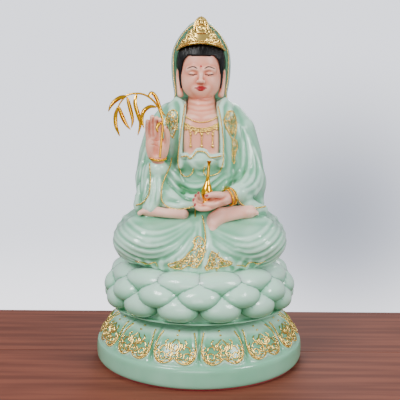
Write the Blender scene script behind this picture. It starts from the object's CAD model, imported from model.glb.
# %% [markdown]
# # A seated figure in imitation jade
# The real object is a resin casting about 38 cm tall: pale green resin with gilt relief, painted
# skin, and loose gold-plated pieces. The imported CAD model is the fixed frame. Everything here is
# built round it in the same place: millimetres in this script, metres in Blender.

# %% Load the frame
import math
import random

import bmesh
import bpy
import numpy as np
import openvdb
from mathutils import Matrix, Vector
from mathutils.bvhtree import BVHTree


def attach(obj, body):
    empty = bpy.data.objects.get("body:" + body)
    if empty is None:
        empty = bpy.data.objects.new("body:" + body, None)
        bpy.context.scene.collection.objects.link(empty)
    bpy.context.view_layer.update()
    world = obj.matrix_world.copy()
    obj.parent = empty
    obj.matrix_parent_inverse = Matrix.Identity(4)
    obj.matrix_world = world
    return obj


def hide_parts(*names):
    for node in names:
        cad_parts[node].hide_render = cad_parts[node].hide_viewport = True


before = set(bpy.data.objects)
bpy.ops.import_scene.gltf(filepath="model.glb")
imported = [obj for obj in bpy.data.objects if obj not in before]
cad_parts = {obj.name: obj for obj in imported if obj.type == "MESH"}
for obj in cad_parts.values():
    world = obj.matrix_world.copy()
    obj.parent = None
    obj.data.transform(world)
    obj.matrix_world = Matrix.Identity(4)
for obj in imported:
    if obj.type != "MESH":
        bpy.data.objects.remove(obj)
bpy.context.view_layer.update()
MM = 0.001

# %% [markdown]
# ## Camera
# The camera stands about 65 cm in front, a little above the middle and tipped slightly down. The
# field of view fits the whole figure. It comes first, because nothing else depends on it.

# %% Camera
CAMERA_BACK = 650
CAMERA_HIGH = 234.4
CAMERA_PITCH = 4.965
CAMERA_ROLL = 0.41
FIELD_OF_VIEW = 38.96

camera = bpy.data.objects.new("camera", bpy.data.cameras.new("camera"))
bpy.context.scene.collection.objects.link(camera)
camera.data.angle = math.radians(FIELD_OF_VIEW)
camera.data.clip_start = 0.01
camera.location = (0, -CAMERA_BACK * MM, CAMERA_HIGH * MM)
camera.rotation_euler = (math.radians(90 - CAMERA_PITCH), 0, 0)
camera.rotation_euler.rotate_axis("Z", math.radians(CAMERA_ROLL))
bpy.context.scene.camera = camera
print("lens", round(camera.data.lens, 2))

# %% [markdown]
# ## Colours and a helper for nodes
# Colours are written as sRGB hex, as a paint chart gives them, and turned to linear once. One
# small function adds a node with its settings and links, so each finish reads as a list of steps.

# %% Colour and node helpers
def colour(code, alpha=1.0):
    values = [int(code[i:i + 2], 16) / 255 for i in (1, 3, 5)]
    return [v / 12.92 if v <= 0.04045 else ((v + 0.055) / 1.055) ** 2.4 for v in values] + [alpha]


def add(tree, kind, inputs=None, **settings):
    """Adds one node. inputs maps a socket name or number to a value, or to another node's socket."""
    node = tree.nodes.new(kind)
    for name, value in settings.items():
        setattr(node, name, value)
    for key, value in (inputs or {}).items():
        if isinstance(value, bpy.types.NodeSocket):
            tree.links.new(value, node.inputs[key])
        else:
            node.inputs[key].default_value = value
    return node


def new_material(name):
    material = bpy.data.materials.new(name)
    material.use_nodes = True
    material.node_tree.nodes.clear()
    return material, material.node_tree


def ramp(tree, factor, stops, interpolation="EASE"):
    """A colour ramp from (position, hex colour) stops."""
    node = add(tree, "ShaderNodeValToRGB", {"Fac": factor})
    node.color_ramp.interpolation = interpolation
    while len(node.color_ramp.elements) < len(stops):
        node.color_ramp.elements.new(1.0)
    for element, (position, code) in zip(node.color_ramp.elements, stops):
        element.position = position
        element.color = colour(code)
    return node.outputs["Color"]


def finish_material(tree, shader, material):
    add(tree, "ShaderNodeOutputMaterial", {"Surface": shader.outputs[0]})
    return material


def object_noise(tree, size_mm, detail=2.0, rough=0.5):
    """Noise on object coordinates whose lumps are about size_mm across."""
    place = add(tree, "ShaderNodeTexCoord").outputs["Object"]
    return add(tree, "ShaderNodeTexNoise",
               {"Vector": place, "Scale": 1 / (size_mm * MM), "Detail": detail,
                "Roughness": rough}).outputs["Fac"]


# %% [markdown]
# ## Imitation jade
# The casting is polyester resin with stone powder and green pigment. It is slightly see-through,
# so light spreads under the skin for a few millimetres, and it is polished and lacquered, so
# windows show as sharp white patches. The maker airbrushes deeper green into the folds. The
# sculpted meshes carry that as an attribute called recess: 0 on crests, 1 in hollows.

# %% Jade resin
JADE_CREST = "#C2EBD5"
JADE_MID = "#74B894"
JADE_DEEP = "#3F8A58"


def jade_material(name, crest=JADE_CREST, mid=JADE_MID, deep=JADE_DEEP, spread=0.45):
    material, tree = new_material(name)
    recess = add(tree, "ShaderNodeAttribute", attribute_name="recess").outputs["Fac"]
    cloud = object_noise(tree, 45, 3)
    shift = add(tree, "ShaderNodeMapRange", {"Value": cloud, "To Min": -0.10, "To Max": 0.10}).outputs[0]
    depth = add(tree, "ShaderNodeMath", {0: recess, 1: shift}, operation="ADD", use_clamp=True).outputs[0]
    base = ramp(tree, depth, [(0.0, crest), (0.42, mid), (0.9, deep)])
    speck = object_noise(tree, 1.2, 1)
    gloss = add(tree, "ShaderNodeMapRange", {"Value": speck, "To Min": 0.16, "To Max": 0.26}).outputs[0]
    shader = add(tree, "ShaderNodeBsdfPrincipled", {
        "Base Color": base, "Roughness": gloss, "IOR": 1.53, "Subsurface Weight": spread,
        "Subsurface Radius": (0.7, 1.0, 0.8), "Subsurface Scale": 0.006,
        "Coat Weight": 0.4, "Coat Roughness": 0.05, "Coat IOR": 1.5})
    return finish_material(tree, shader, material)


jade = jade_material("jade_resin_lacquered")

# %% [markdown]
# ## Clay: sculpting with distances
# Drapery has no simple formula, so the figure is sculpted the way a maker does it, by adding and
# taking away lumps and rolls of clay. Each lump is a distance field on a grid of small cells.
# Two fields join with a soft fillet, and the surface where the distance is zero is meshed at the
# end. Only the cells near a lump are touched, which keeps it quick.

# %% Clay grid
FAR = 40.0


def soft_min(a, b, k):
    if k <= 0:
        return np.minimum(a, b)
    h = np.maximum(k - np.abs(a - b), 0) / k
    return np.minimum(a, b) - h * h * k * 0.25


def smooth_path(points, step):
    """A Catmull-Rom curve through points (any number of columns), sampled about every step mm."""
    p = np.asarray(points, float)
    p = np.vstack([2 * p[0] - p[1], p, 2 * p[-1] - p[-2]])
    out = []
    for k in range(1, len(p) - 2):
        n = max(2, int(np.ceil(np.linalg.norm(p[k + 1][:3] - p[k][:3]) / step)))
        for t in np.arange(n) / n:
            out.append(0.5 * ((2 * p[k]) + (p[k + 1] - p[k - 1]) * t
                              + (2 * p[k - 1] - 5 * p[k] + 4 * p[k + 1] - p[k + 2]) * t * t
                              + (3 * p[k] - p[k - 1] - 3 * p[k + 1] + p[k + 2]) * t ** 3))
    out.append(p[-2])
    return np.array(out)


class Clay:
    def __init__(self, low, high, cell):
        self.cell = cell * 1.0
        self.low = np.array(low, float)
        counts = np.ceil((np.array(high) - self.low) / self.cell).astype(int) + 1
        self.field = np.full(counts, FAR, np.float32)
        self.axes = [(self.low[k] + self.cell * np.arange(counts[k])).astype(np.float32) for k in range(3)]

    def window(self, low, high):
        """Slices and open coordinate arrays of the cells between two corners."""
        cuts = []
        for k in range(3):
            a = max(0, int((low[k] - self.low[k]) / self.cell))
            b = min(len(self.axes[k]), int((high[k] - self.low[k]) / self.cell) + 2)
            cuts.append(slice(a, max(b, a + 1)))
        x, y, z = (self.axes[k][cuts[k]] for k in range(3))
        return tuple(cuts), x[:, None, None], y[None, :, None], z[None, None, :]

    def join(self, cuts, shape, k, cut):
        part = self.field[cuts]
        if cut:
            self.field[cuts] = -soft_min(-part, shape, k)
        else:
            self.field[cuts] = soft_min(part, shape, k)

    def egg(self, centre, radii, k=2.0, turn=(0, 0, 0), cut=False):
        """An ellipsoid, turned by degrees about X, Y and Z."""
        c, r = np.array(centre, float), np.array(radii, float)
        reach = r.max() + k + 2 * self.cell
        cuts, x, y, z = self.window(c - reach, c + reach)
        x, y, z = x - c[0], y - c[1], z - c[2]
        if any(turn):
            ax, ay, az = np.radians(turn)
            y, z = y * math.cos(ax) + z * math.sin(ax), -y * math.sin(ax) + z * math.cos(ax)
            x, z = x * math.cos(ay) - z * math.sin(ay), x * math.sin(ay) + z * math.cos(ay)
            x, y = x * math.cos(az) + y * math.sin(az), -x * math.sin(az) + y * math.cos(az)
        n0 = np.sqrt((x / r[0]) ** 2 + (y / r[1]) ** 2 + (z / r[2]) ** 2)
        n1 = np.sqrt((x / r[0] ** 2) ** 2 + (y / r[1] ** 2) ** 2 + (z / r[2] ** 2) ** 2)
        self.join(cuts, (n0 * (n0 - 1) / np.maximum(n1, 1e-6)).astype(np.float32), k, cut)

    def roll(self, stops, k=2.0, cut=False, taper=0.0):
        """A roll of clay through stops, each x, y, z, radius. taper thins both ends."""
        s = np.array(stops, float)
        if taper:
            t = np.linspace(0, 1, len(s))
            s[:, 3] *= 1 - taper * np.abs(2 * t - 1) ** 3
        reach = s[:, 3].max() + k + 2 * self.cell
        cuts, x, y, z = self.window(s[:, :3].min(0) - reach, s[:, :3].max(0) + reach)
        shape = np.full((x.size, y.size, z.size), FAR, np.float32)
        start = [c.start for c in cuts]
        for a, b in zip(s[:-1], s[1:]):
            near, px, py, pz = self.window(np.minimum(a, b)[:3] - reach, np.maximum(a, b)[:3] + reach)
            local = tuple(slice(n.start - o, n.stop - o) for n, o in zip(near, start))
            d = b[:3] - a[:3]
            t = ((px - a[0]) * d[0] + (py - a[1]) * d[1] + (pz - a[2]) * d[2]) / max(float(d @ d), 1e-9)
            t = np.clip(t, 0, 1)
            off_x = px - a[0] - t * d[0]
            off_y = py - a[1] - t * d[1]
            off_z = pz - a[2] - t * d[2]
            gap = np.sqrt(off_x ** 2 + off_y ** 2 + off_z ** 2)
            gap = gap - (a[3] + t * (b[3] - a[3]))
            shape[local] = np.minimum(shape[local], gap)
        self.join(cuts, shape, k, cut)

    def column(self, rings, k=2.0, cut=False, centre=(0, 0)):
        """A lofted column. A ring is height, half width, front depth, back depth, squareness."""
        r = np.array(rings, float)
        fine = smooth_path(r, 2.0)
        order = np.argsort(fine[:, 0])
        z = self.axes[2]
        a, bf, bb, p = (np.interp(z, fine[order, 0], fine[order, c]).astype(np.float32)[None, None, :]
                        for c in (1, 2, 3, 4))
        x = np.abs(self.axes[0] - centre[0])[:, None, None]
        y = (self.axes[1] - centre[1])[None, :, None]
        b = np.where(y < 0, bf, bb)
        rho = ((x / a) ** p + (np.abs(y) / b) ** p) ** (1 / p)
        away = np.sqrt(x * x + y * y)
        side = away * (1 - 1 / np.maximum(rho, 1e-3))
        side = np.where(rho < 0.3, -0.7 * np.minimum(a, b), side)
        ends = np.maximum(r[0, 0] - z, z - r[-1, 0])[None, None, :]
        shape = np.maximum(side, ends).astype(np.float32)
        self.join((slice(None),) * 3, shape, k, cut)

    def slope(self, p):
        """The outward direction of the surface near each of the points p."""
        i = np.clip(np.round((p - self.low) / self.cell).astype(int), 1, np.array(self.field.shape) - 2)
        f = self.field
        g = np.stack([f[i[:, 0] + 1, i[:, 1], i[:, 2]] - f[i[:, 0] - 1, i[:, 1], i[:, 2]],
                      f[i[:, 0], i[:, 1] + 1, i[:, 2]] - f[i[:, 0], i[:, 1] - 1, i[:, 2]],
                      f[i[:, 0], i[:, 1], i[:, 2] + 1] - f[i[:, 0], i[:, 1], i[:, 2] - 1]], 1)
        return g / np.maximum(np.linalg.norm(g, axis=1, keepdims=True), 1e-6)

    def near(self, p):
        """The field's value at the points p, between cells."""
        q = (p - self.low) / self.cell
        i = np.clip(np.floor(q).astype(int), 0, np.array(self.field.shape) - 2)
        t = np.clip(q - i, 0, 1)
        total = 0
        for corner in range(8):
            c = np.array([corner & 1, corner >> 1 & 1, corner >> 2 & 1])
            w = np.prod(np.where(c, t, 1 - t), axis=1)
            j = i + c
            total = total + w * self.field[j[:, 0], j[:, 1], j[:, 2]]
        return total

    def march(self, start, heading, far=260.0):
        """Walks from each start along its heading until it meets the clay."""
        p = np.array(start, float)
        heading = np.array(heading, float)
        gone = np.zeros(len(p))
        for _ in range(90):
            d = np.where(gone < far, self.near(p), 0)
            step = np.clip(d * 0.7, -2.0, 8.0)
            p = p + heading * step[:, None]
            gone = gone + step
        return p

    def on_front(self, xz, back=False, step=2.0):
        """Points on the front (or back) of the clay at each x, z along a smooth path."""
        path = smooth_path(xz, step)
        side = 1 if back else -1
        edge = self.axes[1][-1 if back else 0]
        start = np.column_stack([path[:, 0], np.full(len(path), edge), path[:, 1]])
        return self.march(start, np.tile([0, -side, 0], (len(path), 1)))

    def on_round(self, az, step=2.0, reach=None):
        """Points met by walking in towards the vertical axis, at each angle (0 is the front) and height."""
        path = smooth_path([(a * 1.5, z) for a, z in az], step)
        angle = np.radians(path[:, 0] / 1.5)
        out = np.column_stack([np.sin(angle), -np.cos(angle), np.zeros(len(path))])
        far = reach or min(abs(self.low[0]), abs(self.low[1])) - 1
        start = out * far + np.column_stack([np.zeros(len(path))] * 2 + [path[:, 1]])
        return self.march(start, -out)

    def fold(self, places, width, height, k=2.5, taper=0.7):
        """Raises a roll of cloth along places on the surface. A negative height presses a groove."""
        n = self.slope(places)
        middle = places - n * (width - height) if height > 0 else places + n * (width + height)
        radii = np.full((len(middle), 1), width)
        t = np.linspace(-1, 1, len(middle))[:, None]
        thin = taper * np.abs(t) ** 3
        middle = middle - n * abs(height) * thin * np.sign(height)
        self.roll(np.hstack([middle, radii * (1 - 0.3 * thin)]), k=k, cut=height < 0)

    def mesh(self, name, recess_mm=7.0):
        """Meshes the surface, with the attribute recess from how much clay lies round each point."""
        grid = openvdb.FloatGrid(FAR)
        grid.copyFromArray(np.ascontiguousarray(self.field))
        points, quads = grid.convertToQuads(isovalue=0.0)
        points = points.astype(float)
        solid = np.clip(0.5 - self.field / self.cell, 0, 1)
        reach = max(1, int(round(recess_mm / self.cell / 2)))
        for _ in range(2):
            for axis in range(3):
                solid = box_blur(solid, reach, axis)
        held = self.field
        places = self.low + points * self.cell
        self.field = solid
        around = self.near(places)
        self.field = held
        piece = mesh_piece(name, places, quads[:, ::-1])
        paint(piece, "recess", np.clip((around - 0.40) * 3.2, 0, 1))
        print(name, len(points), "points", len(quads), "faces")
        return piece


def box_blur(a, reach, axis):
    padded = np.concatenate([np.repeat(a.take([0], axis), reach + 1, axis), a,
                             np.repeat(a.take([-1], axis), reach, axis)], axis)
    total = np.cumsum(padded, axis, dtype=np.float64)
    n = a.shape[axis]
    high = np.take(total, np.arange(2 * reach + 1, 2 * reach + 1 + n), axis)
    low = np.take(total, np.arange(n), axis)
    return ((high - low) / (2 * reach + 1)).astype(np.float32)


# %% Mesh helpers
def mesh_piece(name, points_mm, faces, smooth=True):
    """A mesh object at the origin whose points are given in millimetres."""
    mesh = bpy.data.meshes.new(name)
    points = np.asarray(points_mm, float) * MM
    face_list = faces if isinstance(faces, list) else np.asarray(faces).tolist()
    mesh.from_pydata(points.tolist(), [], face_list)
    mesh.validate()
    if smooth:
        mesh.polygons.foreach_set("use_smooth", [True] * len(mesh.polygons))
    piece = bpy.data.objects.new(name, mesh)
    bpy.context.scene.collection.objects.link(piece)
    return piece


def paint(piece, attribute, values):
    """Stores one number for each point."""
    layer = piece.data.attributes.get(attribute) or piece.data.attributes.new(attribute, "FLOAT", "POINT")
    layer.data.foreach_set("value", np.asarray(values, np.float32))


def points_of(piece):
    p = np.empty(len(piece.data.vertices) * 3, np.float32)
    piece.data.vertices.foreach_get("co", p)
    return p.reshape(-1, 3).astype(float) / MM

# %% [markdown]
# ## Gold
# Three golds: the loose pieces are gold-plated brass, polished like a mirror; the crown is gilt
# over a casting, a little softer; the borders on the robe are gold paint on raised lines, so
# they are the roughest and show the brush.

# %% Golds
GOLD_PATINA = "#6B4514"


def gold_material(name, code, rough_low, rough_high, grain_mm, bump):
    material, tree = new_material(name)
    grain = object_noise(tree, grain_mm, 2)
    rough = add(tree, "ShaderNodeMapRange", {"Value": grain, "To Min": rough_low,
                                             "To Max": rough_high}).outputs[0]
    tone = add(tree, "ShaderNodeMapRange", {"Value": object_noise(tree, grain_mm * 4), "To Min": 0.88,
                                            "To Max": 1.06})
    worn = add(tree, "ShaderNodeAttribute", attribute_name="recess").outputs["Fac"]
    metal = ramp(tree, worn, [(0.38, code), (0.85, GOLD_PATINA)], "LINEAR")
    tint = add(tree, "ShaderNodeHueSaturation", {"Color": metal, "Value": tone.outputs[0]})
    relief = add(tree, "ShaderNodeBump", {"Height": grain, "Strength": bump, "Distance": 0.0002})
    shader = add(tree, "ShaderNodeBsdfPrincipled", {
        "Base Color": tint.outputs[0], "Metallic": 1.0, "Roughness": rough, "Normal": relief.outputs[0]})
    return finish_material(tree, shader, material)


gold_plate = gold_material("gold_plated_brass", "#F0B220", 0.10, 0.18, 6, 0.05)
gold_gilt = gold_material("gilt_casting", "#F0CC72", 0.16, 0.28, 1.5, 0.15)
gold_paint = gold_material("gold_paint_on_relief", "#F2D077", 0.13, 0.28, 0.8, 0.4)

# %% [markdown]
# ## Tubes and strings of beads
# Most of the trim is either a fine raised line or a row of beads along a line. Lines are swept
# tubes. Bead rows are a Geometry Nodes tree: it turns the line into a curve, sets points at even
# spacing, puts a bead on each one, slants it like the strands of a rope, and realises the lot.

# %% Swept tubes
def tube_points(path, radii, sides, flat, normals=None):
    """Rings of points round a path, thinned by flat across the surface's normal."""
    along = np.gradient(path, axis=0)
    along /= np.maximum(np.linalg.norm(along, axis=1, keepdims=True), 1e-9)
    if normals is None:
        side = np.cross(along, np.tile([0.13, 0.97, 0.2], (len(path), 1)))
    else:
        side = np.cross(along, normals)
    side /= np.maximum(np.linalg.norm(side, axis=1, keepdims=True), 1e-9)
    up = np.cross(side, along)
    turn = 2 * np.pi * np.arange(sides) / sides
    across = np.cos(turn)[None, :, None] * side[:, None, :]
    ring = across + flat * np.sin(turn)[None, :, None] * up[:, None, :]
    return path[:, None, :] + ring * np.asarray(radii, float)[:, None, None]


def tubes(name, paths, radius, sides=6, flat=1.0, taper=0.6, normals=None):
    """One mesh of closed tubes along many paths, each thinner towards its ends."""
    points, faces, base = [], [], 0
    for k, path in enumerate(paths):
        path = np.asarray(path, float)
        n = len(path)
        thin = 1 - taper * np.abs(np.linspace(-1, 1, n)) ** 4
        rings = tube_points(path, np.maximum(radius * thin, 0.02), sides, flat,
                            None if normals is None else normals[k])
        points.append(rings.reshape(-1, 3))
        for i in range(n - 1):
            for j in range(sides):
                a, b = base + i * sides + j, base + i * sides + (j + 1) % sides
                faces.append((a, b, b + sides, a + sides))
        faces.append(tuple(base + j for j in reversed(range(sides))))
        faces.append(tuple(base + (n - 1) * sides + j for j in range(sides)))
        base += n * sides
    piece = mesh_piece(name, np.vstack(points), faces)
    return piece


def lines_piece(name, paths):
    """A wire mesh of polylines, the input for a bead row."""
    mesh = bpy.data.meshes.new(name)
    points = np.vstack(paths) * MM
    edges, base = [], 0
    for path in paths:
        edges += [(base + i, base + i + 1) for i in range(len(path) - 1)]
        base += len(path)
    mesh.from_pydata(points.tolist(), edges, [])
    piece = bpy.data.objects.new(name, mesh)
    bpy.context.scene.collection.objects.link(piece)
    return piece


# %% Geometry Nodes helpers
def new_tree(name, inputs):
    """A modifier tree with a geometry input, the named inputs (name, socket type, value) and one output."""
    tree = bpy.data.node_groups.new(name, "GeometryNodeTree")
    tree.interface.new_socket("Geometry", in_out="INPUT", socket_type="NodeSocketGeometry")
    for label, kind, value in inputs:
        socket = tree.interface.new_socket(label, in_out="INPUT", socket_type=kind)
        if value is not None:
            socket.default_value = value
    tree.interface.new_socket("Geometry", in_out="OUTPUT", socket_type="NodeSocketGeometry")
    return tree, tree.nodes.new("NodeGroupInput").outputs


def run_tree(piece, tree, values, name):
    """Evaluates the tree on piece, keeps the result as a plain mesh called name, and drops piece."""
    modifier = piece.modifiers.new("make", "NODES")
    modifier.node_group = tree
    for item in tree.interface.items_tree:
        if item.in_out == "INPUT" and item.name in values:
            modifier[item.identifier] = values[item.name]
    bpy.context.view_layer.update()
    result = bpy.data.meshes.new_from_object(piece.evaluated_get(bpy.context.evaluated_depsgraph_get()))
    bpy.data.objects.remove(piece)
    made = bpy.data.objects.new(name, result)
    bpy.context.scene.collection.objects.link(made)
    return made


def bead_tree():
    tree, given = new_tree("beads_along_lines", [
        ("Spacing", "NodeSocketFloat", 0.0013), ("Size", "NodeSocketVector", (0.0006, 0.0006, 0.001)),
        ("Slant", "NodeSocketFloat", 0.6), ("Material", "NodeSocketMaterial", None)])
    curve = add(tree, "GeometryNodeMeshToCurve", {"Mesh": given["Geometry"]})
    spaced = add(tree, "GeometryNodeResampleCurve", {"Curve": curve.outputs[0], "Length": given["Spacing"]},
                 mode="LENGTH")
    points = add(tree, "GeometryNodeCurveToPoints", {"Curve": spaced.outputs[0]}, mode="EVALUATED")
    bead = add(tree, "GeometryNodeMeshIcoSphere", {"Radius": 1.0, "Subdivisions": 2})
    tilt = add(tree, "ShaderNodeCombineXYZ", {"X": given["Slant"]})
    turned = add(tree, "FunctionNodeRotateEuler",
                 {"Rotation": points.outputs["Rotation"], "Rotate By": tilt.outputs[0]},
                 space="LOCAL")
    rows = add(tree, "GeometryNodeInstanceOnPoints", {
        "Points": points.outputs["Points"], "Instance": bead.outputs["Mesh"], "Rotation": turned.outputs[0],
        "Scale": given["Size"]})
    real = add(tree, "GeometryNodeRealizeInstances", {"Geometry": rows.outputs[0]})
    soft = add(tree, "GeometryNodeSetShadeSmooth", {"Geometry": real.outputs[0]})
    dressed = add(tree, "GeometryNodeSetMaterial",
                  {"Geometry": soft.outputs[0], "Material": given["Material"]})
    add(tree, "NodeGroupOutput", {"Geometry": dressed.outputs[0]})
    return tree


BEADS = bead_tree()


def bead_rows(name, paths, radius, spacing, material, stretch=1.5, slant=0.7):
    size = (radius * MM, radius * MM, radius * stretch * MM)
    made = run_tree(lines_piece(name + "_lines", paths), BEADS,
                    {"Spacing": spacing * MM, "Size": size, "Slant": slant, "Material": material}, name)
    print(name, len(paths), "rows", len(made.data.polygons), "faces")
    return made


def on_statue(piece, slot, *replaced, body="statue", material=None):
    """Rides a finished piece on its body and names its finish."""
    if material and not piece.data.materials:
        piece.data.materials.append(material)
    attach(piece, body)
    if replaced:
        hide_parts(*replaced)
    return piece


# %% [markdown]
# ## Lotus throne
# Each tier is fourteen fat petals. On the real casting they are cushions with a soft point at
# the top and a bright polished face. One petal is a rounded box bent round the axis. Geometry
# Nodes set it round the ring. Each tier is turned half a petal from the one below.

# %% One petal and its ring
PETALS = 14
PETAL_PITCH = 360 / PETALS


def petal_mesh(name, ring_r, height, half_wide, half_high, half_deep, tip, lean, square=0.78):
    """A cushion whose middle is ring_r from the axis, facing the front (-Y)."""
    columns, rows = ((40, 26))
    lon = np.linspace(0, 2 * np.pi, columns, endpoint=False)
    lat = np.linspace(-np.pi / 2, np.pi / 2, rows + 1)[1:-1]
    la, lo = np.meshgrid(lat, lon, indexing="ij")
    ball = np.stack([np.cos(la) * np.cos(lo), np.cos(la) * np.sin(lo), np.sin(la)], -1).reshape(-1, 3)
    ball = np.vstack([ball, [[0, 0, -1], [0, 0, 1]]])
    # the ball's axis points outwards so that its poles are hidden in the face and the back
    across, up, out = ball[:, 0], ball[:, 1], ball[:, 2]

    def boxy(v):
        return np.sign(v) * np.abs(v) ** square

    s = half_wide * boxy(across)
    n = half_deep * boxy(out)
    z = half_high * boxy(up)
    middle = np.clip(1 - np.abs(across), 0, 1)
    z = z + tip * middle ** 1.6 * np.clip(up, 0, 1) ** 1.5
    n = n + lean * up - 0.10 * half_deep * np.clip(up, 0, 1) ** 2
    n = n + 1.0 * np.exp(-(across / 0.10) ** 2) * np.clip(up, 0, 1) * np.clip(out, 0, 1)
    radius = ring_r + n
    angle = s / ring_r
    places = np.stack([radius * np.sin(angle), -radius * np.cos(angle), height + z], -1)
    faces = []
    grid_rows = len(lat)
    for i in range(grid_rows - 1):
        for j in range(columns):
            a, b = i * columns + j, i * columns + (j + 1) % columns
            faces.append((a, b, b + columns, a + columns))
    low, high = len(places) - 2, len(places) - 1
    for j in range(columns):
        faces.append((low, (j + 1) % columns, j))
        top = (grid_rows - 1) * columns
        faces.append((high, top + j, top + (j + 1) % columns))
    return mesh_piece(name, places, faces)


def fix_normals(piece):
    """Turns every face outwards."""
    work = bmesh.new()
    work.from_mesh(piece.data)
    bmesh.ops.recalc_face_normals(work, faces=work.faces)
    work.to_mesh(piece.data)
    work.free()
    return piece


def ring_tree():
    tree, given = new_tree("copies_round_the_axis", [
        ("Count", "NodeSocketInt", PETALS), ("Turn", "NodeSocketFloat", 0.0),
        ("Material", "NodeSocketMaterial", None)])
    spots = add(tree, "GeometryNodePoints", {"Count": given["Count"]})
    index = add(tree, "GeometryNodeInputIndex")
    step = add(tree, "ShaderNodeMath", {0: 2 * math.pi, 1: given["Count"]}, operation="DIVIDE")
    turn = add(tree, "ShaderNodeMath", {0: index.outputs[0], 1: step.outputs[0], 2: given["Turn"]},
               operation="MULTIPLY_ADD")
    spin = add(tree, "ShaderNodeCombineXYZ", {"Z": turn.outputs[0]})
    rows = add(tree, "GeometryNodeInstanceOnPoints", {
        "Points": spots.outputs[0], "Instance": given["Geometry"], "Rotation": spin.outputs[0]})
    real = add(tree, "GeometryNodeRealizeInstances", {"Geometry": rows.outputs[0]})
    dressed = add(tree, "GeometryNodeSetMaterial",
                  {"Geometry": real.outputs[0], "Material": given["Material"]})
    add(tree, "NodeGroupOutput", {"Geometry": dressed.outputs[0]})
    return tree


RING = ring_tree()


def ring_of(piece, name, count, turn_deg, material):
    return run_tree(piece, RING, {"Count": count, "Turn": math.radians(turn_deg), "Material": material}, name)


# %% Shade the hollows between petals
def openness(points, normals, tree_of_faces, reach, rays=26):
    """How much of the sky each point sees within reach, from 0 to 1."""
    golden = math.pi * (3 - math.sqrt(5))
    fan = [(math.cos(k * golden) * math.sqrt(1 - ((k + 0.5) / rays) ** 2),
            math.sin(k * golden) * math.sqrt(1 - ((k + 0.5) / rays) ** 2),
            (k + 0.5) / rays) for k in range(rays)]
    out = np.zeros(len(points))
    for i, (p, n) in enumerate(zip(points, normals)):
        z = Vector(n)
        x = z.orthogonal().normalized()
        y = z.cross(x)
        start = Vector(p) + z * 0.0003
        seen = 0.0
        for a, b, c in fan:
            hit = tree_of_faces.ray_cast(start, x * a + y * b + z * c, reach)
            seen += 1.0 if hit[0] is None else min(1.0, hit[3] / reach)
        out[i] = seen / rays
    return out


def bvh_of(pieces):
    points, faces, base = [], [], 0
    for piece in pieces:
        points += [v.co.copy() for v in piece.data.vertices]
        faces += [tuple(base + v for v in f.vertices) for f in piece.data.polygons]
        base = len(points)
    return BVHTree.FromPolygons(points, faces)


jade_petal = jade_material("jade_resin_petals", mid="#80C09E", deep="#5FA57D", spread=0.55)
TIERS = {
    # ring radius, height, half width, half height, half depth, tip, lean, turn, squareness
    "lotus_petals_lower": (94.0, 76.6, 21.6, 13.6, 15.5, 1.8, -2.2, PETAL_PITCH / 2, 0.86, "petals_lower"),
    "lotus_petals_middle": (92.0, 88.6, 22.6, 13.0, 17.0, 3.6, -4.0, 0.0, 0.88, "petals_middle"),
    "lotus_petals_upper": (86.0, 98.6, 27.5, 12.0, 15.5, 1.2, -2.0, PETAL_PITCH / 2, 0.72, "petals_upper"),
}
tiers = []
for name, (ring_r, height, wide, high, deep, tip, lean, turn, square, node_name) in TIERS.items():
    one = petal_mesh(name + "_one", ring_r, height, wide, high, deep, tip, lean, square)
    fix_normals(one)
    tier = ring_of(one, name, PETALS, turn, jade_petal)
    tiers.append(tier)
    on_statue(tier, "jade_resin", node_name)
throne_faces = bvh_of(tiers + [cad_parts["throne_core"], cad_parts["plinth"]])
for tier in tiers:
    count = len(tier.data.vertices) // PETALS
    places = points_of(tier)[:count] * MM
    aims = [v.normal.copy() for v in tier.data.vertices[:count]]
    hollow = 1 - openness(places, aims, throne_faces, 0.030, 26)
    height = places[:, 2]
    low, high = height.min(), height.max()
    shade = np.clip(0.95 * hollow - 0.22 + 0.8 * (1 - (height - low) / (high - low)) ** 1.5, 0, 1)
    paint(tier, "recess", np.tile(shade, PETALS))
print("petals", sum(len(t.data.polygons) for t in tiers), "faces")

# %% [markdown]
# Behind the petals the throne is a plain drum. It keeps its CAD shape, with the deep green that
# is airbrushed into the gaps. The small hidden parts keep their CAD shapes too: felt under the
# base, a board over the hollow, beech dowels and steel pins.

# %% Finishes of the plain CAD pieces
jade_deep = jade_material("jade_resin_deep", "#8CC9A6", "#7DBD98", "#6CB089", 0.5)
felt, felt_tree = new_material("red_wool_felt")
nap = object_noise(felt_tree, 0.8, 3)
felt_base = ramp(felt_tree, nap, [(0.3, "#7E1A22"), (0.7, "#A82A33")])
felt_bump = add(felt_tree, "ShaderNodeBump", {"Height": nap, "Strength": 0.6, "Distance": 0.0004})
finish_material(felt_tree, add(felt_tree, "ShaderNodeBsdfPrincipled", {
    "Base Color": felt_base, "Roughness": 0.95, "Sheen Weight": 0.5, "Normal": felt_bump.outputs[0]}), felt)


def wood_material(name, light_code, dark_code, along, rough=0.45):
    """Wood whose grain runs along one axis: the noise is stretched that way."""
    material, tree = new_material(name)
    place = add(tree, "ShaderNodeTexCoord").outputs["Object"]
    stretch = add(tree, "ShaderNodeMapping", {"Vector": place, "Scale": along})
    grain = add(tree, "ShaderNodeTexNoise", {"Vector": stretch.outputs[0], "Scale": 1.0, "Detail": 4.0})
    base = ramp(tree, grain.outputs["Fac"], [(0.35, dark_code), (0.65, light_code)])
    bump = add(tree, "ShaderNodeBump", {"Height": grain.outputs["Fac"], "Strength": 0.3, "Distance": 0.0003})
    shader = add(tree, "ShaderNodeBsdfPrincipled",
                 {"Base Color": base, "Roughness": rough, "Normal": bump.outputs[0],
                  "Specular IOR Level": 0.25})
    return finish_material(tree, shader, material)


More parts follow.
